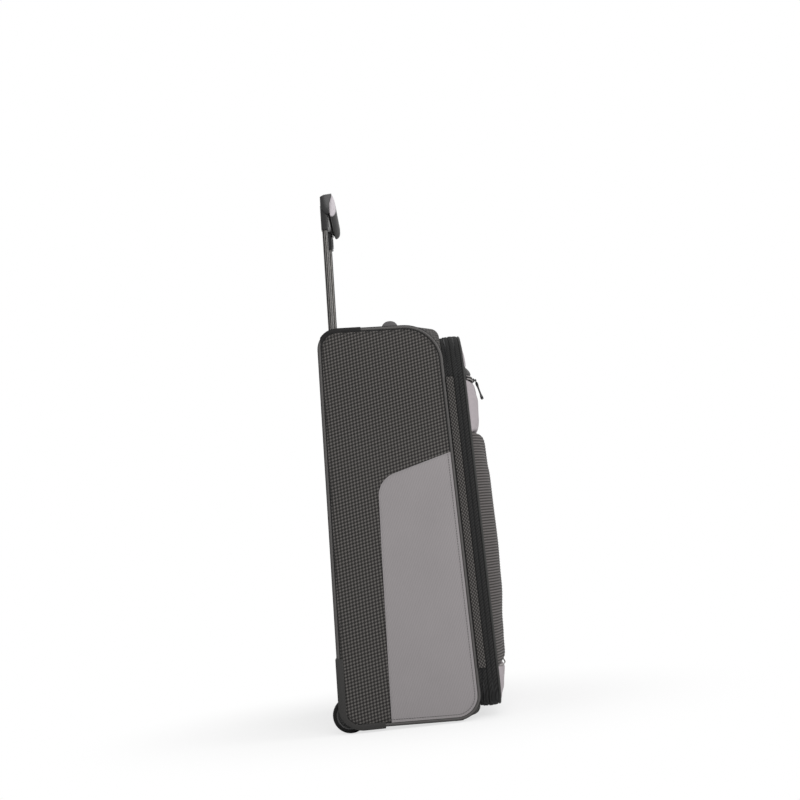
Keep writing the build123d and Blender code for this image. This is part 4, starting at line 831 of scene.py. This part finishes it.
def zip_teeth(name, body, y_place, parity, skip=None):
    """Every second tooth of a zip round the lid: the other row comes from the other parity."""
    sizes = bpy.context.scene.case_sizes
    pitch = sizes.tooth_pitch / MM
    places = []
    for number, (point, direction) in enumerate(lid_route(TOOTH_INSET, pitch)):
        if number % 2 != parity or (skip and skip(point)):
            continue
        place = Vector((point.x, y_place + (0.5 if parity else -0.5), point.y)) * MM
        places.append(frame_at(place, (direction.x, 0, direction.y), (direction.y, 0, -direction.x)))
    teeth = repeated(name, small_block((pitch * 0.55, 2.6, 1.3)), places)
    return settle(teeth, name, body, "zinc")


def swept_band(back, front, drop, front_drop, thickness):
    """A padded band round the lid's outline, between two depths in Y, its face rounded over."""
    section = []
    steps, squareness = 10, 3.2
    for step in range(steps + 1):
        share = 2 * step / steps - 1
        full = (1 - abs(share) ** squareness) ** (1 / squareness)
        sunk = drop + (front_drop - drop) * (share + 1) / 2
        section.append((back + (front - back) * (share + 1) / 2, sunk + (thickness - sunk) * (1 - full)))
    section += [(front, thickness), (back, thickness)]
    return swept_ring(section)


def swept_ring(section):
    """A ring round the lid's outline, from its closed section as depth in Y and inset."""
    route = lid_route(0.0, ROUTE_STEP)
    count = len(section)
    deselect_all()
    bpy.ops.mesh.primitive_grid_add(x_subdivisions=len(route), y_subdivisions=count, size=1)
    band = bpy.context.object
    across = len(route) + 1
    for number, vertex in enumerate(band.data.vertices):
        point, direction = route[(number % across) % len(route)]
        y, inset = section[(number // across) % count]
        outward = Vector((direction.y, -direction.x))
        spot = point - outward * inset
        vertex.co = (spot.x * MM, y * MM, spot.y * MM)
    turn_outwards(band, MERGE)
    smooth(band, 50)
    return band


def expansion_gusset():
    """The expansion's cloth: two pleats folded behind its zip."""
    pleats, steps, hem, fold, margin, thickness = 2, 24, 3.2, 11.0, 0.3, 0.4
    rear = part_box("expansion_tape_rear")[0].y / MM + margin
    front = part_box("expansion_tape_front")[1].y / MM - margin
    line = [(rear + 3.0, hem)]
    for step in range(steps + 1):
        share = step / steps
        line.append((rear + (front - rear) * share, hem + fold * (1 - math.cos(2 * math.pi * pleats * share)) / 2))
    line.append((front - 3.0, hem))
    cloth = swept_ring(line + [(y, inset + thickness) for y, inset in reversed(line)])
    bodies = ("lid", "lid_front")
    bend(cloth, "expansion_gusset_pleats", "tape", "black_tape", "expansion_gusset", bodies, rear, front)


def on_hinge(point):
    strip_low, strip_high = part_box("hinge_strip")
    return point.x < 0 and strip_low.z / MM < point.y < strip_high.z / MM


class CASE_OT_zips(bpy.types.Operator):
    """Make the zip tapes with their rounded welts, and the teeth between them"""

    bl_idname = "case.zips"
    bl_label = "Zips"

    def execute(self, context):
        bands = (
            ("case_zip_tape", "case_zip_welt", "case", 1.7, 2.0),
            ("lid_zip_tape", "lid_zip_welt", "lid", 0.9, 0.1),
            ("expansion_tape_rear", "expansion_welt_rear", "lid", 0.0, 0.0),
            ("expansion_tape_front", "expansion_welt_front", "lid_front", 0.1, 1.2),
        )
        for node, name, body, drop, front_drop in bands:
            low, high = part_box(node)
            band = swept_band(high.y / MM, low.y / MM, drop, front_drop, BAND_THICKNESS)
            settle(band, name, body, "tape", (node,))
        low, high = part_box("lid_piping")
        depth = (low.y + high.y) / 2 / MM
        spots = [Vector((point.x, depth, point.y)) for point, _ in lid_route(LID_PIPING_INSET, ROUTE_STEP)]
        piping = cord_along(spots, LID_PIPING_RADIUS, closed=True)
        settle(piping, "lid_piping_cord", "lid_front", "dark_piping", ("lid_piping",))
        expansion_gusset()
        for parity, (body, place) in enumerate((("case", "case"), ("lid", "lid"))):
            zip_teeth(f"main_zip_teeth_{place}", body, MAIN_ZIP_Y, parity, on_hinge)
        for parity, (body, place) in enumerate((("lid", "rear"), ("lid_front", "front"))):
            zip_teeth(f"expansion_zip_teeth_{place}", body, EXPANSION_ZIP_Y, parity)
        return {"FINISHED"}


# A moulded pull, as distance from its pin, half width and half thickness.
PULL_STATIONS = (
    (3.2, 1.3, 0.9), (4.6, 2.4, 2.0), (7.0, 3.4, 2.6), (10.0, 3.4, 2.5), (14.0, 2.5, 1.8),
    (22.0, 2.3, 1.6), (28.0, 2.8, 1.8), (32.0, 4.2, 2.5), (35.5, 5.4, 2.9), (37.6, 5.0, 2.4), (38.0, 3.6, 1.2),
)


class CASE_OT_zip_pulls(bpy.types.Operator):
    """Make the cast zip sliders and the moulded grips on their pulls"""

    bl_idname = "case.zip_pulls"
    bl_label = "Zip sliders and pulls"

    def execute(self, context):
        for kind in ("main_{}_upper", "main_{}_lower", "expansion_{}", "pocket_{}"):
            slider = kind.format("slider")
            softened(slider, f"{slider}_cast", slider, "zinc", 0.35, 2)
            self.grip_on(kind.format("pull"))
        return {"FINISHED"}

    def grip_on(self, pull):
        """The pull's metal eye stays, and a flared grip is moulded round the rest of it."""
        dress((pull,), "zinc")
        low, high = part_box(pull)
        on_pocket = pull.startswith("pocket")
        sideways = Vector((1, 0, 0)) if on_pocket else Vector((0, 1, 0))
        lean = POCKET_PULL_LEAN if on_pocket else 0.0
        along = Vector((0, -math.tan(lean), -1)).normalized()
        start = (low + high) / 2
        start.z = high.z - PULL_EYE * MM
        if on_pocket:
            start.y = high.y - PULL_EYE * MM
        outward = along.cross(sideways).normalized()
        rings = 16
        count = len(PULL_STATIONS)
        deselect_all()
        bpy.ops.mesh.primitive_grid_add(x_subdivisions=rings, y_subdivisions=count - 1, size=1)
        grip = bpy.context.object
        for number, vertex in enumerate(grip.data.vertices):
            distance, half_width, half_thickness = PULL_STATIONS[number // (rings + 1)]
            angle = 2 * math.pi * (number % (rings + 1)) / rings
            vertex.co = (
                start
                + along * distance * MM
                + sideways * math.cos(angle) * half_width * MM
                + outward * math.sin(angle) * half_thickness * MM
            )
        edit(grip)
        bpy.ops.mesh.select_all(action="SELECT")
        bpy.ops.mesh.remove_doubles(threshold=0.02 * MM)
        bpy.ops.mesh.select_all(action="DESELECT")
        bpy.ops.mesh.select_non_manifold()
        bpy.ops.mesh.edge_face_add()
        bpy.ops.mesh.select_all(action="SELECT")
        bpy.ops.mesh.normals_make_consistent(inside=False)
        object_mode()
        smooth(grip, 50)
        settle(grip, f"{pull}_grip", pull, "rubber")


class CASE_OT_hinge_strip(bpy.types.Operator):
    """Make the cloth strip that hinges the lid, with a folded hem at each end"""

    bl_idname = "case.hinge_strip"
    bl_label = "Hinge strip"

    def execute(self, context):
        hem, fold, bent = 12.0, 1.5, 3.0
        low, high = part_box("hinge_strip")
        middle = (low + high) / 2
        size = high - low
        deselect_all()
        bpy.ops.mesh.primitive_cube_add(size=1, location=middle)
        strip = context.object
        strip.scale = (size.x, size.y - 2.4 * MM, size.z)
        bpy.ops.object.transform_apply(location=True, rotation=False, scale=True)
        edit(strip)
        for height in (low.z + hem * MM, low.z + (hem + fold) * MM, high.z - (hem + fold) * MM, high.z - hem * MM):
            cut_across((0, 0, height), (0, 0, 1))
        for step in range(-6, 7):
            cut_across((0, (MAIN_ZIP_Y + step * 0.5) * MM, 0), (0, 1, 0))
        object_mode()
        # The folded ends are twice as thick.
        for vertex in strip.data.vertices:
            folded = min(vertex.co.z - low.z, high.z - vertex.co.z) < (hem + 0.5) * MM
            if folded and vertex.co.x < middle.x:
                vertex.co.x -= 0.8 * MM
        apply_modifier(
            strip, "BEVEL", "Rounding", width=0.4 * MM, segments=2, limit_method="ANGLE", angle_limit=0.6
        )
        smooth(strip)
        names = ("hinge_strip_cloth", "bias_weave", "weave_fabric", "hinge_strip")
        bend(strip, *names, ("case", "lid"), MAIN_ZIP_Y + bent, MAIN_ZIP_Y - bent)
        return {"FINISHED"}


# ---------------------------------------------------------------- front pockets


def half_width_at(height, inset=POCKET_INSET):
    """Half the width of the lid's face at a height."""
    half = LID_HALF_WIDTH - inset
    bottom = LID_BOTTOM_RADIUS - inset
    top = LID_TOP_RADIUS - inset
    bottom_centre = LID_BOTTOM + LID_BOTTOM_RADIUS
    top_centre = LID_TOP - LID_TOP_RADIUS
    if height < bottom_centre:
        return half - bottom + math.sqrt(max(0.0, bottom**2 - (bottom_centre - height) ** 2))
    if height > top_centre:
        return half - top + math.sqrt(max(0.0, top**2 - (height - top_centre) ** 2))
    return half


def profile_depth(profile, height):
    """How far a pocket stands off the face at a height, smoothly between the profile's points."""
    for (depth_a, low), (depth_b, high) in zip(profile, profile[1:]):
        if height <= high:
            share = max(0.0, (height - low) / (high - low))
            share = share * share * (3 - 2 * share)
            return depth_a + (depth_b - depth_a) * share
    return profile[-1][0]


def section_share(x, half):
    """How full the pocket is across its width: low at its sides and full in the middle."""
    inside = half - abs(x)
    seam, rise, fullness, bow = 0.07, 0.83, 0.72, 0.1
    if inside < POCKET_SIDE_RUN:
        return seam + rise * math.sin(math.pi / 2 * (max(0.0, inside) / POCKET_SIDE_RUN) ** fullness)
    flat = max(1.0, half - POCKET_SIDE_RUN)
    return 1.0 - bow * (x / flat) ** 2


def front_pad(profile, rounding, columns, spacing):
    """A padded form on the lid's face, from its side profile in depth and height."""
    low = profile[0][1]
    high = profile[-1][1]
    rows = max(4, round((high - low) / spacing))
    deselect_all()
    bpy.ops.mesh.primitive_grid_add(x_subdivisions=columns, y_subdivisions=rows, size=2)
    pad = bpy.context.object
    # The columns stand closer together near the sides, and the rounding starts partly raised.
    gathered, raised = 0.35, 0.45
    for vertex in pad.data.vertices:
        across = math.sin(math.pi / 2 * vertex.co.x) * gathered + vertex.co.x * (1 - gathered)
        height = low + (vertex.co.y + 1) / 2 * (high - low)
        half = half_width_at(height)
        x = across * half
        edge = min(height - low, high - height)
        curve = 1.0
        if edge < rounding:
            curve = raised + (1 - raised) * math.sqrt(1 - (1 - edge / rounding) ** 2)
        depth = profile_depth(profile, height) * section_share(x, half) * curve
        vertex.co = (x * MM, (FACE_Y - depth) * MM, height * MM)
    edit(pad)
    bpy.ops.mesh.select_non_manifold()
    bpy.ops.mesh.extrude_region_move()
    bpy.ops.transform.resize(value=(1, 0, 1), center_override=(0, FACE_Y * MM, 0))
    object_mode()
    turn_outwards(pad)
    face_the_front(pad)
    return pad


def face_the_front(pad):
    """Turns the skin outwards, so that its face looks forward."""
    forward = sum(face.normal.y * face.area for face in pad.data.polygons)
    if forward > 0:
        edit(pad)
        bpy.ops.mesh.select_all(action="SELECT")
        bpy.ops.mesh.flip_normals()
        object_mode()


def wrinkle(pad, amount, size, seed):
    """Slack in the cloth: shallow dents that fade out at the seams."""
    low_y = FACE_Y * MM
    for vertex in pad.data.vertices:
        depth = low_y - vertex.co.y
        if depth < 1.0 * MM:
            continue
        place = Vector((vertex.co.x / size, seed, vertex.co.z / size * 0.7))
        vertex.co.y += amount * noise.noise(place) * min(1.0, depth / (12 * MM))


PADS = {
    # name: (frame node, body finish, slot, profile as depth and height, edge rounding, swell, fill)
    "upper_trim_pad": (
        "upper_trim", "light", "light_fabric",
        ((6.5, 632.4), (6.0, 652.0), (3.5, 671.0), (1.0, 691.0)), 3.0, 1.5, 0.4,
    ),
    "zip_hood_welt": (
        "zip_hood", "housing", "housing_plastic",
        ((15.5, 615.0), (15.0, 624.0), (8.0, 632.0)), 3.5, 0.8, 0.6,
    ),
    "upper_pocket_pad": (
        "upper_pocket", "light", "light_fabric",
        ((17.0, 513.0), (21.5, 540.0), (23.4, 575.0), (19.0, 607.0)), 4.0, 3.0, 0.5,
    ),
    "ribbed_pocket_pad": (
        "ribbed_pocket", "ribbed", "ribbed_fabric",
        ((17.6, 92.0), (20.0, 107.0), (22.5, 165.0), (29.0, 236.0), (31.0, 312.0), (30.0, 420.0),
         (27.5, 490.0), (26.0, 512.6)), 9.0, 2.0, 0.6,
    ),
    "lower_trim_pad": (
        "lower_trim", "light", "light_fabric",
        ((0.8, 24.0), (5.5, 33.0), (11.5, 52.0), (17.0, 91.6)), 4.0, 2.0, 0.5,
    ),
}


class CASE_OT_front_pockets(bpy.types.Operator):
    """Make the padded pockets and trims on the lid's front"""

    bl_idname = "case.front_pockets"
    bl_label = "Front pockets"

    def execute(self, context):
        sizes = context.scene.case_sizes
        for number, (name, made_of) in enumerate(PADS.items()):
            node, material, slot, profile, rounding, swell, fill = made_of
            ribbed = material == "ribbed"
            pad = front_pad(profile, rounding, 56, 5.0 if ribbed else 4.0)
            back = [v.index for v in pad.data.vertices if v.co.y > (FACE_Y - 1.5) * MM]
            inflate(pad, back, swell * MM)
            wrinkle(pad, 1.2 * MM if material == "light" else 0.5 * MM, 55 * MM, number * 3.7)
            apply_modifier(pad, "SUBSURF", "Softness", levels=2 if ribbed else 1, render_levels=2 if ribbed else 1)
            if ribbed:
                for vertex in pad.data.vertices:
                    wave = 0.5 - 0.5 * math.cos(2 * math.pi * vertex.co.z / sizes.rib_pitch)
                    stands = min(1.0, (FACE_Y * MM - vertex.co.y) / (4 * MM))
                    vertex.co.y -= sizes.rib_height * (wave - 1.0) * max(0.0, stands)
            smooth(pad, 50)
            settle(pad, name, "lid_front", material, (node,))
        dress(("pocket_zip_tape",), "tape")
        dress(("lid_panel",), "tape")
        dress(("lid_lining",), "lining")
        self.seam_cords()
        return {"FINISHED"}

    def seam_cords(self):
        """Thin cords in the seams above and below the pockets."""
        cords = (
            ("pocket_top_cord", 608.4, 17.6, 1.0),
            ("zip_upper_cord", 613.8, 16.4, 0.9),
            ("pocket_bottom_cord", 91.4, 18.0, 1.3),
        )
        for name, height, depth, radius in cords:
            half = half_width_at(height)
            steps = 48
            spots = []
            for step in range(steps + 1):
                x = -half + 2 * half * step / steps
                spots.append(Vector((x, FACE_Y - depth * section_share(x, half) - 0.4, height)))
            settle(cord_along(spots, radius), name, "lid_front", "pale_piping")


# ---------------------------------------------------------------- top handle


class CASE_OT_top_handle(bpy.types.Operator):
    """Make the padded carry handle over its core"""

    bl_idname = "case.top_handle"
    bl_label = "Top handle"

    def execute(self, context):
        handle = copy_of("carry_handle")
        apply_modifier(handle, "REMESH", "Even skin", mode="VOXEL", voxel_size=3 * MM)
        low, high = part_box("carry_handle")
        middle_y = (low.y + high.y) / 2
        half = (high.y - low.y) / 2
        pad_depth, dome, domed, slimmer, foot = 11 * MM, 7.5 * MM, 2.4, 0.96, 14 * MM
        underside = high.z - pad_depth
        for vertex in handle.data.vertices:
            # The cover's top is domed from edge to edge, and it starts slimmer than the finished pad.
            across = min(1.0, abs(vertex.co.y - middle_y) / half)
            raised = max(0.0, vertex.co.z - underside) / (high.z - underside)
            vertex.co.z -= dome * across**domed * raised
            vertex.co.y = middle_y + (vertex.co.y - middle_y) * slimmer
        held = [v.index for v in handle.data.vertices if v.co.z < low.z + foot]
        inflate(handle, held, 1.2 * MM)
        apply_modifier(handle, "SUBSURF", "Softness", levels=1, render_levels=1)
        smooth(handle, 60)
        settle(handle, "carry_handle_pad", "carry_handle", "handle", ("carry_handle",))
        return {"FINISHED"}


# ---------------------------------------------------------------- trolley


def trolley_point(x, forward, rise):
    """A point from its distance forward of the tubes' axis and its rise along it, in metres."""
    y = AXLE_Y - TUBE_AHEAD - forward * math.cos(LEAN) - rise * math.sin(LEAN)
    z = BACK_TOP_HEIGHT - forward * math.sin(LEAN) + rise * math.cos(LEAN)
    return Vector((x * MM, y * MM, z * MM))


class CASE_OT_trolley(bpy.types.Operator):
    """Make the trolley's grip, with its pad and sockets, and finish its tubes"""

    bl_idname = "case.trolley"
    bl_label = "Trolley"

    def execute(self, context):
        dress(("inner_tubes", "outer_tubes"), "tube")
        dress(("stop_bushes", "base_bracket"), "hub")
        dress(("push_bar",), "steel")
        softened("grip_shell", "grip_shell_polished", "trolley", "grip", 1.6, 4)
        pad = softened("grip_insert", "grip_pad", "trolley", "insert", 1.8, 4)
        # The pad is pale at its end by the hinge side and black beyond.
        edit(pad)
        cut_across((-GRIP_CAP_X * MM, 0, 0), (1, 0, 0))
        object_mode()
        pad.data.materials.append(MATERIALS["tray"])
        for face in pad.data.polygons:
            if face.center.x > -GRIP_CAP_X * MM:
                face.material_index = 1
        softened("release_button", "release_button_cap", "release_button", "insert", 0.8)
        ridge = small_block((24.0, 1.2, 1.4))
        tube_x, ahead, lowest, pitch, count = 100.0, 7.9, 214.0, 3.2, 6
        places = [
            frame_at(trolley_point(side * tube_x, ahead, lowest + pitch * step), (1, 0, 0), (0, -1, 0))
            for side in SIDES.values()
            for step in range(count)
        ]
        ridges = repeated("socket_ridges", ridge, places)
        settle(ridges, "socket_ridges", "trolley", "grip")
        return {"FINISHED"}


# ---------------------------------------------------------------- wheels


class CASE_OT_wheels(bpy.types.Operator):
    """Make the grooved tyres, the spoked hubs and the moulded housings"""

    bl_idname = "case.wheels"
    bl_label = "Wheels"

    def execute(self, context):
        for name in SIDES:
            self.tyre(name)
            self.hub(name)
            softened(
                f"wheel_housing_{name}", f"corner_guard_{name}", "case", "housing", 1.4
            )
            dress((f"wheel_bearings_{name}",), "steel")
        dress(("wheel_axles",), "steel")
        return {"FINISHED"}

    def tyre(self, name):
        low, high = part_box(f"tyre_{name}")
        middle = (low + high) / 2
        half = (high.x - low.x) / 2 / MM
        # Half of the tread's section, as distance from its middle and depth below its rim.
        tread = (
            (half, 7.0), (half, 4.5), (half - 1.6, 1.6), (half - 4.6, 0.25),
            (3.4, 0.0), (3.0, 1.2), (2.2, 1.2), (1.8, 0.0),
        )
        profile = [(-across, WHEEL_RADIUS - depth) for across, depth in tread]
        profile += [(across, WHEEL_RADIUS - depth) for across, depth in reversed(tread)]
        deselect_all()
        bpy.ops.mesh.primitive_circle_add(vertices=len(profile), radius=1)
        tyre = bpy.context.object
        for vertex, (across, radius) in zip(tyre.data.vertices, profile):
            vertex.co = (middle.x + across * MM, middle.y, middle.z + radius * MM)
        edit(tyre)
        bpy.ops.mesh.select_all(action="SELECT")
        bpy.ops.mesh.spin(steps=72, angle=2 * math.pi, center=middle, axis=(1, 0, 0))
        object_mode()
        turn_outwards(tyre, MERGE)
        smooth(tyre, 40)
        settle(tyre, f"grooved_tyre_{name}", f"wheel_{name}", "tyre", (f"tyre_{name}",))

    def hub(self, name):
        hub = copy_of(f"wheel_hub_{name}")
        low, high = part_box(f"wheel_hub_{name}")
        middle = (low + high) / 2
        smooth(hub)
        settle(hub, f"hub_disc_{name}", f"wheel_{name}", "hub", (f"wheel_hub_{name}",))
        inner, rim, spoke_width, sunk, first, count = 10.5, 3.0, 3.0, 1.6, 0.3, 6
        reach = (high.z - low.z) / 2 / MM - rim - inner
        spoke = small_block((reach, spoke_width, high.x / MM - low.x / MM - sunk))
        places = []
        for number in range(count):
            angle = number * 2 * math.pi / count + first
            direction = Vector((0, math.cos(angle), math.sin(angle)))
            centre = middle + direction * (inner + reach / 2) * MM
            places.append(frame_at(centre, direction, (1, 0, 0)))
        spokes = repeated(f"hub_spokes_{name}", spoke, places)
        settle(spokes, f"hub_spokes_{name}", f"wheel_{name}", "hub")


# ---------------------------------------------------------------- inside


class CASE_OT_inside(bpy.types.Operator):
    """Finish the lining, board, straps and frame wire"""

    bl_idname = "case.inside"
    bl_label = "Inside"

    def execute(self, context):
        dress(("back_lining",), "lining")
        dress(("back_board",), "board")
        dress(("packing_straps",), "webbing")
        dress(("frame_wire",), "steel")
        softened("strap_buckles", "strap_buckles_moulded", "case", "hub", 1.2)
        return {"FINISHED"}


# ---------------------------------------------------------------- stitching


def stitches_on(targets, route, side, name, body, thread="thread"):
    """Stitches along a route in the side's plane, laid on the cloth under them."""
    sizes = bpy.context.scene.case_sizes
    bpy.context.view_layer.update()
    places = []
    for point, direction in route:
        start = Vector((side * 0.3, point.x * MM, point.y * MM))
        found = None
        for target in targets:
            hit, where, normal, _ = target.ray_cast(start, Vector((-side, 0, 0)))
            if hit and (found is None or where.x * side > found[0].x * side):
                found = (where, normal)
        if found is None:
            continue
        where, normal = found
        outward = normal if normal.x * side > 0 else -normal
        places.append(frame_at(where + outward * 0.15 * MM, (0, direction.x, direction.y), outward))
    stitch = small_block((sizes.stitch_length / MM, 0.8, 0.6))
    row = repeated(name, stitch, places)
    return settle(row, name, body, thread)


class CASE_OT_stitching(bpy.types.Operator):
    """Sew the rows of stitches along the panels, patches and hems"""

    bl_idname = "case.stitching"
    bl_label = "Stitching"

    def execute(self, context):
        pitch = context.scene.case_sizes.stitch_pitch / MM
        step = 3.0
        for name, side in SIDES.items():
            panel = bpy.data.objects[f"padded_side_{name}"]
            sewn = bpy.data.objects[f"sewn_patch_{name}"]
            route = rounded_route(side_corners(STITCH_INSET), side_radii(STITCH_INSET), pitch)
            stitches_on((panel, sewn), route, side, f"panel_stitches_{name}", "case")
            corners = [(AXLE_Y - ahead - step, height - step * 0.6) for ahead, height in PATCH_EDGE]
            route = rounded_route(corners, PATCH_RADII, pitch, closed=False)
            stitches_on((sewn,), route, side, f"patch_stitches_{name}", "case", "pale_thread")
        return {"FINISHED"}


# ---------------------------------------------------------------- stage


class CASE_OT_stage(bpy.types.Operator):
    """Set the pale floor, the soft lights and the camera"""

    bl_idname = "case.stage"
    bl_label = "Stage"

    def execute(self, context):
        self.floor()
        self.world(context.scene)
        self.lights()
        self.camera(context.scene)
        context.scene.view_settings.view_transform = "Standard"
        return {"FINISHED"}

    def floor(self):
        """A pale floor whose far part is as white as the backdrop."""
        deselect_all()
        bpy.ops.mesh.primitive_plane_add(size=60, location=(0, 0, -0.0002))
        floor = bpy.context.object
        floor.name = "studio_floor"
        material, tree, shader, place = new_material("painted_studio_floor")
        shader.inputs["Base Color"].default_value = (0.95, 0.95, 0.95, 1)
        shader.inputs["Roughness"].default_value = 0.9
        shader.inputs["Specular IOR Level"].default_value = 0.1
        distance = add_node(tree, "VectorMath", {0: place.outputs["Object"]}, operation="LENGTH")
        far = add_node(
            tree,
            "MapRange",
            {"Value": distance.outputs["Value"], "From Min": 0.2, "From Max": 0.7, "To Min": 0.7},
            interpolation_type="SMOOTHSTEP",
        )
        path = add_node(tree, "LightPath")
        seen = add_node(tree, "Math", {0: path.outputs["Is Camera Ray"], 1: far}, operation="MULTIPLY")
        white = add_node(tree, "Emission", {"Color": (1, 1, 1, 1), "Strength": 1.0})
        mixed = add_node(tree, "MixShader", {0: seen, 1: shader, 2: white})
        output = tree.nodes["Material Output"]
        tree.links.new(mixed.outputs[0], output.inputs["Surface"])
        floor.data.materials.append(material)

    def world(self, scene):
        """Even light all round, and a white backdrop where the camera or a shiny face looks past the case."""
        world = bpy.data.worlds.new("studio")
        scene.world = world
        world.use_nodes = True
        tree = world.node_tree
        background = tree.nodes["Background"]
        background.inputs["Color"].default_value = (1, 1, 1, 1)
        path = add_node(tree, "LightPath")
        seen = path.outputs["Is Camera Ray"]
        for ray in ("Is Glossy Ray", "Is Transmission Ray"):
            seen = add_node(tree, "Math", {0: seen, 1: path.outputs[ray]}, operation="MAXIMUM")
        strength = add_node(tree, "MapRange", {"Value": seen, "To Min": LIGHT_LEVEL, "To Max": 1.0})
        tree.links.new(strength.outputs[0], background.inputs["Strength"])

    def lights(self):
        """Two large soft boxes: one on the hinge side and one before the lid."""
        boxes = (
            ("side_softbox", (-2.6, -0.6, 2.0), 1.8, 34.0),
            ("front_softbox", (-0.9, -2.6, 1.4), 1.4, 26.0),
        )
        for name, place, size, power in boxes:
            data = bpy.data.lights.new(name, "AREA")
            data.shape = "SQUARE"
            data.size = size
            data.energy = power
            light = bpy.data.objects.new(name, data)
            bpy.context.scene.collection.objects.link(light)
            light.location = place
            aim = Vector((0, 0, 0.4)) - Vector(place)
            light.rotation_mode = "QUATERNION"
            light.rotation_quaternion = aim.to_track_quat("-Z", "Y")

    def camera(self, scene):
        """Looks square at the hinge side, a little tipped."""
        data = bpy.data.cameras.new("camera")
        data.lens = CAMERA_LENS
        data.sensor_width = 36.0
        camera = bpy.data.objects.new("camera", data)
        scene.collection.objects.link(camera)
        level = Matrix.Rotation(-math.pi / 2, 4, "Z") @ Matrix.Rotation(math.pi / 2, 4, "X")
        turn = Matrix.Rotation(-CAMERA_TIP, 4, "Z") @ Matrix.Rotation(CAMERA_PITCH, 4, "X")
        camera.matrix_world = Matrix.Translation(CAMERA_PLACE) @ level @ turn
        scene.camera = camera


STEPS = (
    CASE_OT_side_panels,
    CASE_OT_case_body,
    CASE_OT_zips,
    CASE_OT_zip_pulls,
    CASE_OT_hinge_strip,
    CASE_OT_front_pockets,
    CASE_OT_top_handle,
    CASE_OT_trolley,
    CASE_OT_wheels,
    CASE_OT_inside,
    CASE_OT_stitching,
    CASE_OT_stage,
)


class CASE_PT_sidebar(bpy.types.Panel):
    """The case's pieces, sizes and colours"""

    bl_idname = "CASE_PT_sidebar"
    bl_label = "Softside case"
    bl_space_type = "VIEW_3D"
    bl_region_type = "UI"
    bl_category = "Case"

    def draw(self, context):
        for step in STEPS:
            self.layout.operator(step.bl_idname)
        for group in (context.scene.case_sizes, context.scene.case_colours):
            for name in group.__annotations__:
                self.layout.prop(group, name)


CLASSES = (CaseColours, CaseSizes, *STEPS, CASE_PT_sidebar)


def register():
    for one in CLASSES:
        bpy.utils.register_class(one)
    bpy.types.Scene.case_colours = bpy.props.PointerProperty(type=CaseColours)
    bpy.types.Scene.case_sizes = bpy.props.PointerProperty(type=CaseSizes)


def unregister():
    del bpy.types.Scene.case_colours
    del bpy.types.Scene.case_sizes
    for one in reversed(CLASSES):
        bpy.utils.unregister_class(one)


def main():
    register()
    MATERIALS.update(make_materials())
    for step in STEPS:
        group, name = step.bl_idname.split(".")
        getattr(getattr(bpy.ops, group), name)()
    bpy.context.view_layer.update()


if __name__ == "__main__":
    main()
